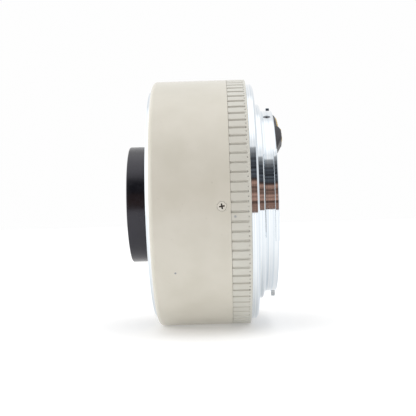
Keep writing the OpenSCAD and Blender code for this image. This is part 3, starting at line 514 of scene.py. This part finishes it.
# %% Flange, locating ring and neck
MOUNT_R, NECK_R, NECK_SCREW_X, NECK_SCREW_ANGLE = 29.625, 25.1, 3.5, 27.6
countersink = [(1.37, 0.0), (1.35, 0.03), (0.86, 0.52), (0.85, 1.3)]
REAR_SCREWS, FRONT_SCREWS = 70 + 90 * np.arange(4), 55 + 90 * np.arange(4)
mount_holes = [hole(0, MOUNT_R, angle, (2.0, 1.9), countersink, REAR) for angle in REAR_SCREWS]
mount_holes += [hole(0, MOUNT_R, LOCK_ANGLE, (2.0, 2.0), [(1.6, 0.0), (1.5, 0.1), (1.5, 1.4)], REAR),
                hole(NECK_SCREW_X, NECK_R, NECK_SCREW_ANGLE, (1.35, 1.35),
                     [(0.98, 0.0), (0.95, 0.04), (0.95, 0.6)], SIDE)]
mount_outline = soften([(-2.0, 23.2), (-2.0, 32.5), (-0.45, 32.5), (0, 31.95), (0, 26.95), (1.45, 26.95),
                        (1.8, 26.6), (1.8, NECK_R), (5.2, NECK_R), (5.2, 24.0), (-0.2, 24.0), (-0.2, 23.2)],
                       [0.1, 0.1, 0.1, 0.1, 0.15, 0.1, 0.1, 0.1, 0.25, 0.1, 0.1, 0.1], steps=5)
mount_shapes = [turned(mount_outline, mount_holes)]

# %% [markdown]
# A lug is a bar bent round the axis. Its outline is carried from one angle to the other, and at each end
# it is drawn in along a quarter circle, so that the end face has a rounded edge like the long ones.

# %% Bent bars, and the mount's lugs
LUG_ANGLES, LUG_HALF, LENS_LUG_HALF = 87 + 120 * np.arange(3), 26, 31


def bar(outline, first, last, end_round=0.2, columns=40):
    """Bar bent round the axis: the outline at each angle, drawn in near its ends by 1 - sin of a quarter."""
    quarter = np.linspace(0, np.pi / 2, 5)
    radius = outline[:, 1].mean()
    ends = np.degrees(end_round * (1 - np.cos(quarter)) / radius)
    turn = np.r_[first + ends, np.linspace(first, last, columns)[2:-2], last - ends[::-1]]
    tuck = end_round * (1 - np.sin(quarter))
    draw = np.r_[tuck, np.zeros(columns - 4), tuck[::-1]]
    inward = outline.mean(0) - outline
    inward = inward / np.linalg.norm(inward, axis=1, keepdims=True)
    section = outline + draw[:, None, None] * inward
    return stacked(place(section[..., 0], section[..., 1], turn[:, None]))


lug_outline = soften([(4.1, 24.6), (4.1, 26.7), (5.2, 26.7), (5.2, 25.0), (5.0, 24.6)],
                     [0.1, 0.15, 0.25, 0.1, 0.1])
mount_shapes += [bar(lug_outline, angle - LUG_HALF, angle + LUG_HALF) for angle in LUG_ANGLES]
make("camera_mount_chromed", join(mount_shapes), chrome, "rear_mount")

# %% [markdown]
# ## The lens mount
# In front the same bayonet is turned inside out: a flat ring whose throat takes the lens, with three lugs
# behind its lip. Its outer edge stands a little proud of the shell and shows as a thin bright line. The
# lock pin slides in a hole that goes right through.

# %% Lens mount
FRONT_X, LENS_DOT_ANGLE = -27.8, 205
ring_holes = [hole(FRONT_X, MOUNT_R, angle, (1.44, 1.9), countersink, FRONT) for angle in FRONT_SCREWS]
ring_holes += [hole(FRONT_X, MOUNT_R, LOCK_ANGLE, (1.44, 1.6), [(1.4, 0.0), (1.35, 0.08), (1.35, 2.0)], FRONT,
                    through=(LIP_REAR, MOUNT_R)),
               hole(FRONT_X, MOUNT_R, LENS_DOT_ANGLE, (1.44, 1.8), pocket, FRONT)]
ring_outline = soften([(FRONT_X, 27.05), (FRONT_X, 31.14), (-26.9, 31.35), (LIP_REAR, 31.35),
                       (LIP_REAR, 27.85), (-23.8, 27.85), (-23.8, 27.05)],
                      [0.25, 0.08, 0.1, 0.1, 0.1, 0.1, 0.1])
front_lug = soften([(LIP_REAR, 25.4), (LIP_REAR, 27.4), (-24.4, 27.4), (-24.4, 25.4)], [0.2, 0.1, 0.1, 0.2])
ring_shapes = [turned(ring_outline, ring_holes)]
ring_shapes += [bar(front_lug, angle - LENS_LUG_HALF, angle + LENS_LUG_HALF) for angle in LUG_ANGLES]
make("lens_mount_chromed", join(ring_shapes), chrome, "front_mount_ring")

# %% [markdown]
# ## Screws
# Every screw here has a cross recess. The head is a stack of loops: up the shank, out under the head, round
# its rim, and then in to a plus-shaped loop that goes down into the recess. A plus is easy to say in polar
# form, as the farther of two crossed bars in each direction. Because the recess is real, it makes its own
# shade, and on the pale screws painted shade is added to it.

# %% Round posts, cross recesses, and a way to stand them up
def post(radii, heights, turn=np.linspace(0, 2 * np.pi, 40, endpoint=False)):
    """Closed post: a loop at each height, (radius cos turn, radius sin turn, height) at that row's radius."""
    radii, heights = np.asarray(radii, float).reshape(len(heights), -1), np.asarray(heights, float)[:, None]
    return stacked(np.stack(np.broadcast_arrays(radii * np.cos(turn), radii * np.sin(turn), heights), -1))


def screw(head, height, shank, length, countersunk=False, lean=8):
    """Cross-head screw with its face at height 0, turned by lean degrees; the recess is
    max(min(a / cos, b / sin), min(b / cos, a / sin))."""
    long, thin = 0.62 * head, 0.16 * head
    edge = np.degrees(np.arctan2(thin, long))
    bends = np.add.outer([edge, 45, 90 - edge], 90 * np.arange(4)).ravel()
    turn = np.radians(np.unique(np.r_[np.arange(0, 360, 7.5), bends]))
    c, s = np.maximum(np.abs([np.cos(turn), np.sin(turn)]), 1e-9)
    plus = np.maximum(np.minimum(long / c, thin / s), np.minimum(thin / c, long / s))
    body = [(0.7 * shank, -length), (shank, 0.4 * shank - length), (shank, -height)]
    body += [] if countersunk else [(head, -height)]
    body += [(head, -0.1), (head - 0.03, -0.03), (head - 0.1, 0)]
    radii = [r + 0 * turn for r, _ in body] + [plus * 1.06, plus * 0.97, plus * 0.7]
    return post(radii, [z for _, z in body] + [0, -0.05, -0.45 * head], turn + np.radians(lean))


def stand(shape, x, r, angle, into):
    """Shape set at a place: its z points out of the face that a hole there is drilled into."""
    up, across = -into[0] * np.array([1.0, 0, 0]) - into[1] * place(0, 1, angle), place(0, 1, angle + 90)
    return place(x, r, angle) + shape[0] @ np.stack([across, np.cross(up, across), up]), shape[1]


shell_screw, mount_screw = screw(1.15, 0.85, 0.7, 4.85), screw(1.3, 0.5, 0.8, 5.5, countersunk=True)
print("a shell screw has", len(shell_screw[1]), "faces")

# %% [markdown]
# Many finishes are two tones of one thing, mixed by noise of a real size, and are duller where they are
# paler. One function makes them all.

# %% Two-toned finishes
def layered(name, slot, low, high, size_mm, roughness, detail=4.0, bump=(0.25, 0.05), **values):
    """Two tones mixed by noise of a real size; roughness and bump, (strength, mm), follow the noise."""
    finish = start(name, slot, **values)
    grain = add(finish, "TexNoise", {"Vector": finish["coords"], "Scale": 1 / (size_mm * MM),
                                     "Detail": detail})
    finish["colour"] = add(finish, "MixRGB", {"Fac": grain, "Color1": low, "Color2": high})
    feed(finish, Base_Color=finish["colour"],
         Roughness=add(finish, "MapRange", {"Value": grain, "To Min": roughness[0], "To Max": roughness[1]}))
    if bump:
        strength, distance = bump
        feed(finish, Normal=add(finish, "Bump", {"Height": grain, "Strength": strength,
                                                 "Distance": distance * MM}))
    return finish


# %% [markdown]
# The shell's three screws wear a pale lacquer like the barrel's, and the cross in their recess is darkened
# with painted shade. The mounts' screws are plain stainless. The one that holds the contact block through the
# neck is blackened, so that no light scatters from it into the camera.

# %% All screws
lacquer = layered("pale lacquer on steel", "steel", "#ccc7b9", "#e4e1d8", 0.5, (0.3, 0.45), 3.0, None,
                  IOR=1.5)
# Painted shade: the cross recess turns dark brown below 33.7 mm from the axis.
shaded_recess = add(lacquer, "MixRGB", {"Fac": sunk(lacquer, 33.7, 33.62, 0.9), "Color1": lacquer["colour"],
                                 "Color2": "#35291d"})
feed(lacquer, Base_Color=shaded_recess)
black_oxide = start("worn black oxide on steel", "black_screw", Base_Color="#85878c", Metallic=1.0)
blotch = add(black_oxide, "TexNoise", {"Vector": black_oxide["coords"], "Scale": 1 / (0.4 * MM),
                                       "Detail": 3.0})
feed(black_oxide, Roughness=add(black_oxide, "MapRange", {"Value": blotch, "To Min": 0.3, "To Max": 0.6}))
neck_screw, SINK = screw(0.9, 0.5, 0.6, 2.5), 0.05
for name, shape, x, r, angles, into, finish, node in [
        ("shell_screws_lacquered", shell_screw, SCREW_X, BODY_R - SINK, SCREW_ANGLES, SIDE, lacquer,
         "shell_screws"),
        ("camera_mount_screws", mount_screw, -SINK, MOUNT_R, REAR_SCREWS, REAR, steel, "rear_mount_screws"),
        ("lens_mount_screws", mount_screw, FRONT_X + SINK, MOUNT_R, FRONT_SCREWS, FRONT, steel,
         "front_mount_screws"),
        ("neck_screw", neck_screw, NECK_SCREW_X, NECK_R - 2 * SINK, [NECK_SCREW_ANGLE], SIDE, black_oxide,
         "contact_block_screw")]:
    make(name, join([stand(shape, x, r, angle, into) for angle in angles]), finish, node)

# %% [markdown]
# ## Red dots
# A dot on each end shows where to start the turn into the bayonet. It is a drop of enamel in a pocket:
# proud in the middle, and glossier than anything near it.

# %% Index dots
red = layered("red enamel drop", "red_mark", "#a81c18", "#cc302a", 0.9, (0.18, 0.35), 2.0, None,
              IOR=1.5, Coat_Weight=0.4)
rise = np.linspace(0, 1.5, 7)
dome, flush = (post(np.r_[1.1, 1.1 * np.cos(rise)], np.r_[-0.45, height * np.sin(rise) - drop])
               for height, drop in ((0.35, 0.0), (0.12, 0.1)))
make("camera_dot", stand(dome, SCREW_X, BODY_R, INDEX_ANGLE, SIDE), red, "rear_index_dot")
make("lens_dot", stand(flush, FRONT_X, MOUNT_R, LENS_DOT_ANGLE, FRONT), red, "front_index_dot")

# %% [markdown]
# ## The lens tube
# The black tube that stands out in front carries the glass into the rear of the lens ahead of it. It is
# anodised aluminium: a deep black with a satin sheen, and turning marks that show only in the highlight.

# %% Lens tube
def anodised(name, marks_mm=0.3):
    """Black anodised aluminium: a near-black coat whose sheen comes from the turned metal under it."""
    finish = start(name, "black_anodised", IOR=1.5, Specular_IOR_Level=0.75, Specular_Tint="#e6e4f0")
    parts = add(finish, "SeparateXYZ", {"Vector": finish["coords"]}).node.outputs
    marks = add(finish, "TexNoise", {"W": parts["X"], "Scale": 1 / (marks_mm * MM), "Detail": 2.0},
                noise_dimensions="1D")
    dust = add(finish, "TexNoise", {"Vector": finish["coords"], "Scale": 1 / (1.5 * MM), "Detail": 4.0})
    colour = add(finish, "MixRGB", {"Fac": dust, "Color1": "#0b0b0f", "Color2": "#121217"})
    dull = add(finish, "MapRange", {"Value": dust, "From Min": 0.3, "From Max": 0.7,
                                    "To Min": 0.2, "To Max": 0.28})
    turned_marks = add(finish, "Bump", {"Height": marks, "Strength": 0.15, "Distance": 0.02 * MM})
    feed(finish, Base_Color=colour, Roughness=dull, Normal=turned_marks)
    return finish


anodise = anodised("black anodised aluminium")
tube_outline = soften([(-34.1, 13.2), (-34.1, 16.05), (-16.0, 16.05), (-16.0, 19.75), (-14.5, 19.75),
                       (-14.5, 16.3), (0.5, 16.3), (0.5, 14.9), (-4.4, 11.95), (-5.6, 11.95), (-5.6, 13.2)],
                      [0.12, 0.3, 0.1, 0.15, 0.15, 0.1, 0.15, 0.1, 0.1, 0.1, 0.1])
make("lens_tube_anodised", turned(tube_outline, columns=192), anodise, "lens_tube")

# %% [markdown]
# ## Five glass elements
# Each element is a disc with two spherical faces and a ground edge. The coatings are what one sees of them: a
# film a quarter of a wave thick takes green light out of the reflection and leaves a violet or amber glint.

# %% Coated lenses
CLEAR_R, LENS_R = 11.95, 13.15


def lens(front, rear, front_radius, rear_radius):
    """Disc with spherical faces inside the clear radius, each sqrt(R^2 - rho^2) - sqrt(R^2 - clear^2) over
    its rim; a negative radius is a hollow face."""
    rho, bend = CLEAR_R * np.sin(np.linspace(0.03, np.pi / 2, 18)), np.array([[front_radius], [rear_radius]])
    height = np.sign(bend) * (np.sqrt(bend ** 2 - rho ** 2) - np.sqrt(bend ** 2 - CLEAR_R ** 2))
    x = np.r_[front - height[0], front, front + 0.1, rear - 0.1, rear, (rear + height[1])[::-1]]
    r = np.r_[rho, LENS_R - 0.1, LENS_R, LENS_R, LENS_R - 0.1, rho[::-1]]
    return stacked(place(x[:, None], r[:, None], np.linspace(0, 360, 96, endpoint=False)))


def coated(name, index, film):
    """Optical glass with an antireflection film of a thickness in nanometres, a few dust motes on it."""
    finish = start(name, "coated_glass", Base_Color="#f6faf8", Transmission_Weight=1.0, IOR=index,
                   Thin_Film_Thickness=film, Thin_Film_IOR=1.38)
    motes = add(finish, "TexNoise", {"Vector": finish["coords"], "Scale": 1 / (1.2 * MM), "Detail": 2.0})
    dusty = add(finish, "MapRange", {"Value": motes, "From Min": 0.7, "From Max": 0.8, "To Max": 0.25})
    feed(finish, Roughness=dusty)
    return finish


crown, flint = coated("coated crown glass", 1.52, 110.0), coated("coated flint glass", 1.62, 130.0)
for node, ends, bends, glass in [("front_lens", (-32.4, -29.2), (120, -45), crown),
                                 ("doublet_crown", (-27.7, -26.22), (38, 30), crown),
                                 ("doublet_flint", (-26.2, -22.2), (-30, 90), flint),
                                 ("middle_lens", (-17.7, -15.9), (50, 40), crown),
                                 ("rear_lens", (-10.0, -5.6), (-35, 80), flint)]:
    make(node + "_coated", lens(*ends, *bends), glass, node)

# %% [markdown]
# ## Contacts
# Eight gold pads on a black moulded block meet the camera's pins, and eight sprung pins behind the lens
# mount meet the lens. The block has a low and a high step and a ramp at its end, so its top follows the
# angle: the same bar as a lug, with its top points moved to the height of each angle.

# %% Contact block and gold pads
plastic = layered("glass-filled black plastic", "black_plastic", "#222225", "#343438", 0.35, (0.34, 0.56),
                  3.0, (0.2, 0.03), IOR=1.5)
gold = metal("hard gold plate", "gold", "#c8ac6c", "#dcc288", 0.22, 0.15, 0.2)
CONTACT_R, LOW_ANGLES, HIGH_ANGLES = 22.2, 28.5 - 4 * np.arange(5), 36.4 + 4 * np.arange(3)


def contact_block(base, low, high):
    """Bar from -7 to 57 degrees whose top is low, then high from 34.5 degrees, and falls to 5.2 after 47."""
    outline = soften([(base, 20.45), (low, 20.45), (low, 23.95), (base, 23.95)], [0.1, 0.3, 0.7, 0.1],
                     steps=6)
    bends = np.array([-7, -6.5, 34.1, 34.5, 34.9, 35.8, 37.2, 38.8, 45.6, 47.2, 48.4, 56.4, 57])
    tops = np.array([low - 0.2, low, low, low + 0.1, 6.4, 6.65, 6.85, high, high,
                     high - 0.1, high - 0.35, 5.35, 5.15])
    turn = np.unique(np.r_[np.linspace(-7, 57, 65), bends, 34.3, 34.7])
    x = outline[:, 0] + np.where(outline[:, 0] > low - 1, (np.interp(turn, bends, tops) - low)[:, None], 0)
    return stacked(place(x, outline[:, 1], turn[:, None]))


make("contact_block_moulded", contact_block(0.8, 6.1, 7.0), plastic, "rear_contact_block")
pad = post([0.65, 0.65, 0.6, 0.5, 0.3], [-0.9, 0.05, 0.16, 0.24, 0.28])
pad = (pad[0] * (1, 1.7, 1), pad[1])
make("contact_pads_gold", join([stand(pad, x, CONTACT_R, angle, REAR)
                                for angles, x in ((LOW_ANGLES, 6.2), (HIGH_ANGLES, 6.83))
                                for angle in angles]), gold, "rear_contacts")

# %% [markdown]
# The front pins slide into their block against small coil springs. A spring is a circle of wire carried along
# a helix, and the springs' object gets a mesh of its own.

# %% Sprung contact pins
def pin(length):
    """Round-nosed pin with a head at its foot; its nose is at height 0."""
    head, thick, shaft, nose = 0.67, 0.3, 0.45, np.linspace(0, 1.5, 7)
    return post(np.r_[head, head, shaft, shaft * np.cos(nose)],
                np.r_[-length, thick - length, thick - length, shaft * np.sin(nose) - shaft])


def coil(length, radius, wire, turns):
    """Wire ring carried along a helix: middle (R cos, R sin, height), thickened along its two normals."""
    turn = np.linspace(0, 2 * np.pi * turns, 24 * turns + 1)[:, None, None]
    around = np.linspace(0, 2 * np.pi, 10, endpoint=False)[None, :, None]
    rise = (length - 2 * wire) / turn[-1, 0, 0]
    out = np.concatenate([np.cos(turn), np.sin(turn), 0 * turn], -1)
    along = np.concatenate([-radius * np.sin(turn), radius * np.cos(turn), 0 * turn + rise], -1)
    side = np.cross(along / np.hypot(radius, rise), out)
    middle = radius * out + np.concatenate([0 * turn, 0 * turn, wire + rise * turn], -1)
    return stacked(middle + wire * (np.cos(around) * out + np.sin(around) * side))


PIN_FOOT = -18.6
noses = [(angle, x) for angles, x in ((LOW_ANGLES, -22.2), (HIGH_ANGLES, -21.3)) for angle in angles]
make("contact_pins_gold", join([stand(pin(PIN_FOOT - x), x, CONTACT_R, angle, FRONT) for angle, x in noses]),
     gold, "front_contact_pins", body="contact_pins")
coils = join([stand(coil(1.1, 0.5, 0.06, 3), PIN_FOOT, CONTACT_R, angle, REAR) for angle, _ in noses])
pin_springs = make("contact_springs_gold", coils, gold, "front_contact_springs")
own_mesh(pin_springs)

# %% [markdown]
# ## The lens release
# A sliding button on the far side pulls the lock pin back out of the lens. It is moulded plastic with five
# grip grooves, fixed by a screw sunk in its top. Its top is one grid, lowered where a groove, the screw's
# recess or the rounded rim is, and a second grid below closes it.

# %% Release slider
BUTTON_TOP, BUTTON_FOOT, BUTTON_R, BUTTON_SCREW_X = 35.2, 34.0, 34.6, -18.0
NOTCH_X, NOTCH_PITCH, NOTCHES, NOTCH_END, RIM = -21.0, 1.222, 5, -15.4, 0.3


def release_button(front, rear, half_angle):
    """Grid of stations and angles: the top, less the groove, the recess and the rim's quarter circle."""
    near = np.linspace(-1.35, 1.35, 41)
    rim = RIM * np.r_[0, 0.1, 0.25, 0.45, 0.7, 1.0]
    walls = [-0.04, 0, 0.05, 0.11, 0.3, 0.5, 0.56, 0.61, 0.65]
    notch = np.add.outer(NOTCH_X + NOTCH_PITCH * np.arange(NOTCHES), walls).ravel()
    x = np.unique(np.r_[front + rim, rear - rim, notch, near + BUTTON_SCREW_X].round(3))[:, None]
    half = np.radians(half_angle) * BUTTON_R
    plain = np.linspace(-half + 0.5, half - 0.5, 16)
    across = np.unique(np.r_[rim - half, half - rim, near, plain].round(3))[None]
    phase, notched = (x - NOTCH_X) % NOTCH_PITCH, (x > NOTCH_X) & (x < NOTCH_END)
    cut = 0.45 * soft_step(phase, 0, 0.11) * (1 - soft_step(phase, 0.5, 0.61)) * notched
    recess = 1.13 * (1 - soft_step(np.hypot(x - BUTTON_SCREW_X, across), 1.12, 1.22))
    shy = np.clip(1 - np.minimum(np.minimum(x - front, rear - x), half - np.abs(across)) / RIM, 0, 1)
    top = BUTTON_TOP - np.maximum(np.maximum(cut, recess), RIM * (1 - np.sqrt(1 - shy ** 2)))
    angle = LOCK_ANGLE + np.degrees(across / BUTTON_R)
    return between(place(x, top, angle), place(x, BUTTON_FOOT + 0 * top, angle))


stem_angles = LOCK_ANGLE + np.degrees(np.linspace(-2, 2, 7) / 33)
stem_x, stem_angles = np.meshgrid(np.linspace(-20.5, -17.0, 5), stem_angles, indexing="ij")
stem = between(place(stem_x, 34.03, stem_angles), place(stem_x, 31.6, stem_angles))
button_screw = stand(screw(1.1, 0.6, 0.6, 2.6), BUTTON_SCREW_X, 34.68, LOCK_ANGLE, SIDE)
lock_post = post([1.3, 1.3, 1.27, 1.2, 0.9], [-9.9, -0.4, -0.2, -0.08, 0])
for name, shape, finish, node in [
        ("release_button_moulded", join([release_button(-22.0, -14.5, 8.45), stem]), plastic,
         "release_slider"),
        ("release_screw", button_screw, steel, "slider_screw"),
        ("lock_pin_steel", stand(lock_post, -29.0, MOUNT_R, LOCK_ANGLE, FRONT), steel, "lock_pin")]:
    make(name, shape, finish, node, body="lens_lock")
lock_coil = make("lock_spring_steel", stand(coil(5.0, 1.0, 0.17, 6), -16.5, MOUNT_R, LOCK_ANGLE, REAR),
                 steel, "lock_spring")
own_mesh(lock_coil)

# %% [markdown]
# ## Finishes for the solids that stay
# The frame, the rings between the lenses, the board and the other inner parts already have their right
# shape, so they keep it and only change their finish. Inside the barrel everything that light could reach
# is dulled black. The cast frame is painted, the board is green lacquer over copper, and the flat cable is
# amber film.

# %% Inner finishes
def dress(finish, *names):
    """Gives CAD nodes a finish in the material slots they have."""
    for name in names:
        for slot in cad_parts[name].material_slots:
            slot.material = finish["material"]
    print(finish["material"].name, "on", ", ".join(names))


dress(layered("matt black paint on cast alloy", "cast_alloy", "#161618", "#242427", 0.6, (0.55, 0.8)),
      "chassis")
dress(layered("flocked black anodise", "black_anodised", "#121214", "#1e1e21", 0.4, (0.6, 0.85)),
      "front_spacer", "middle_spacer", "rear_spacer", "rear_baffle")
dress(anodise, "front_retainer")
dress(plastic, "front_contact_block", "control_chip")
dress(steel, "bayonet_spring", "stop_pin", "tube_screws", "board_screws", "lock_carriage")
dress(layered("green lacquer on copper", "board", "#1d5530", "#2f7442", 1.2, (0.25, 0.45), IOR=1.5),
      "circuit_board")
dress(layered("amber polyimide film", "flex", "#a2601f", "#c98433", 1.5, (0.25, 0.4), IOR=1.6), "flex_strip")
dress(metal("rolled shim brass", "shim_brass", "#bc9a50", "#ccac62", 0.25, 0.2, 0.15), "mount_shim")

# %% [markdown]
# ## Floor and light
# The part stands on a sheet of opal plastic that is lit a little from below, as on a product photographer's
# table. About a quarter of the sheet's white is its own glow and the rest is light that falls on it, so the
# shadow stays but is pale, and the underside of the barrel is lit. The sheet ends a little short of the
# camera.

# %% Opal floor
FLOOR_Z = -33.8
opal = start("opal plastic sheet", "stage", Base_Color="#e8e8e8", Roughness=0.9, Emission_Color="#ffffff",
             Emission_Strength=0.24)
fibre = add(opal, "TexNoise", {"Vector": opal["coords"], "Scale": 1 / (9 * MM), "Detail": 5.0})
feed(opal, Normal=add(opal, "Bump", {"Height": fibre, "Strength": 0.35, "Distance": 0.6 * MM}))


def card(name, corner, along, up, finish):
    """Flat stage piece: the corner plus shares of two edges, in millimetres."""
    share = np.stack(np.meshgrid([0, 0.5, 1], [0, 0.5, 1], indexing="ij"), -1).reshape(-1, 2)
    mesh = bpy.data.meshes.new(name)
    points = (np.array(corner) + share @ np.array([along, up])) * MM
    mesh.from_pydata(points.tolist(), [], quads(3, 3).tolist())
    mesh.materials.append(finish["material"])
    piece = bpy.data.objects.new(name, mesh)
    bpy.context.scene.collection.objects.link(piece)


card("floor", (-1500, -190, FLOOR_Z), (3000, 0, 0), (0, 1690, 0), opal)

# %% [markdown]
# Chrome shows the room rather than itself. In a room that is white all round it would look like chalk, so
# the end of this one, behind the camera, is dark: brown shelves low down and near black above, with a haze
# that brightens up to the edge of the white ceiling. The world's shader says that by direction. A ray's
# height and its turn to the side are parts of its direction, and each gives a share of white.

# %% White room with a dark end
scene = bpy.context.scene
world = scene.world = scene.world or bpy.data.worlds.new("white room")
world.use_nodes = True
sky = {"tree": world.node_tree}
way = add(sky, "SeparateXYZ", {"Vector": add(sky, "TexCoord", {})}).node.outputs
shelf = add(sky, "TexNoise", {"W": way["Z"], "Scale": 16.0, "Detail": 2.0}, noise_dimensions="1D")
shelf = add(sky, "MapRange", {"Value": shelf, "From Min": 0.4, "From Max": 0.62})
brown = add(sky, "MixRGB", {"Fac": shelf, "Color1": "#58453d", "Color2": "#b48f7f"})
black = add(sky, "MixRGB", {"Fac": shelf, "Color1": "#292a2d", "Color2": "#575b61"})
upper = add(sky, "MapRange", {"Value": way["Z"], "From Min": 0.32, "From Max": 0.37})
dark = add(sky, "MixRGB", {"Fac": upper, "Color1": brown, "Color2": black})
high = add(sky, "MapRange", {"Value": way["Z"], "From Min": 0.765, "From Max": 0.795})
haze = add(sky, "MapRange", {"Value": way["Z"], "From Min": 0.6, "From Max": 0.78, "To Max": 0.62})
haze = add(sky, "Math", {0: haze, 1: 2.0}, operation="POWER")
aside = add(sky, "Math", {0: add(sky, "Math", {0: way["X"], 1: -0.05}), 1: 0.0}, operation="ABSOLUTE")
aside = add(sky, "MapRange", {"Value": aside, "From Min": 0.28, "From Max": 0.5})
behind = add(sky, "MapRange", {"Value": way["Y"], "From Min": -0.1, "From Max": 0.1})
seen = add(sky, "LightPath", {}).node.outputs
plain = add(sky, "Math", {0: seen["Is Camera Ray"], 1: seen["Is Transmission Ray"]}, operation="MAXIMUM")
white = plain
for share in (high, haze, aside, behind):
    white = add(sky, "Math", {0: white, 1: share}, operation="MAXIMUM")

# %% [markdown]
# The ceiling and the left side glow, but only in mirrors, where they are the brightest things that the
# chrome finds. The camera, the glass and the part's plain surfaces get the room's own white.

# %% Ceiling, and the room's light
glow = add(sky, "MapRange", {"Value": way["Z"], "From Min": 0.84, "From Max": 0.94, "To Max": 0.4})
left = add(sky, "MapRange", {"Value": way["X"], "From Min": -0.3, "From Max": -0.45, "To Max": 0.35})
glow = add(sky, "Math", {0: glow, 1: left}, operation="MAXIMUM")
glow = add(sky, "Math", {0: glow, 1: seen["Is Glossy Ray"]}, operation="MULTIPLY")
direct = add(sky, "Math", {0: plain, 1: seen["Is Glossy Ray"]}, operation="MAXIMUM")
level = add(sky, "MapRange", {"Value": direct, "To Min": 0.98, "To Max": 0.99})
backdrop = world.node_tree.nodes["Background"]
for socket, value in [("Color", add(sky, "MixRGB", {"Fac": white, "Color1": dark, "Color2": "#ffffff"})),
                      ("Strength", add(sky, "Math", {0: level, 1: glow}))]:
    world.node_tree.links.new(value, backdrop.inputs[socket])

# %% [markdown]
# Two lamps shape the light: a wide soft one straight above, and a panel on the left for the barrel's front
# edge. The one above is a sun, because a sun lights the floor alike near and far and so leaves no edge at the
# horizon. Its disc would be a hard spot in the chrome, so mirrors do not see it.

# %% Lamps
def lamp(name, kind, energy, where, **settings):
    """Lamp of a kind at a place in millimetres, facing the part."""
    data = bpy.data.lights.new(name, kind)
    data.energy = energy
    for key, value in settings.items():
        setattr(data, key, value)
    light = bpy.data.objects.new(name, data)
    away = Vector(where).to_track_quat("Z", "Y").to_matrix().to_4x4()
    light.matrix_world = Matrix.Translation(Vector(where) * MM) @ away
    scene.collection.objects.link(light)
    return light


lamp("overhead lamp", "SUN", 0.8, (20, -90, 600), angle=np.radians(40)).visible_glossy = False
lamp("left panel", "AREA", 0.6, (-450, -120, 60), size=400 * MM)

# %% [markdown]
# ## Camera
# The picture was taken from the side, almost square to the axis, from about 23 cm. Place and turn were
# found by fitting the outlines of the barrel, tube and mount.

# %% Camera
def spin(degrees, i, j):
    """Turn about an axis: cosines on the diagonal of the plane (i, j), and the sine between them."""
    matrix, turn = np.eye(3), np.radians(degrees)
    matrix[[i, j], [i, j]], matrix[i, j], matrix[j, i] = np.cos(turn), -np.sin(turn), np.sin(turn)
    return matrix


right, ahead, above = (spin(0.76, 0, 1) @ spin(0.145, 1, 2) @ spin(1.593, 2, 0)).T
viewer = bpy.data.cameras.new("side view")
viewer.lens, viewer.sensor_width, viewer.clip_start = 70.63, 36.0, 0.01
stand_point = bpy.data.objects.new("side view", viewer)
pose = np.eye(4)
pose[:3] = np.stack([right, above, -ahead, np.array([-9.90, -229.1, -2.1]) * MM], 1)
stand_point.matrix_world = Matrix(pose.tolist())
scene.collection.objects.link(stand_point)
scene.camera = stand_point
scene.view_settings.view_transform = "Standard"
print("camera looks along", ahead.round(3))
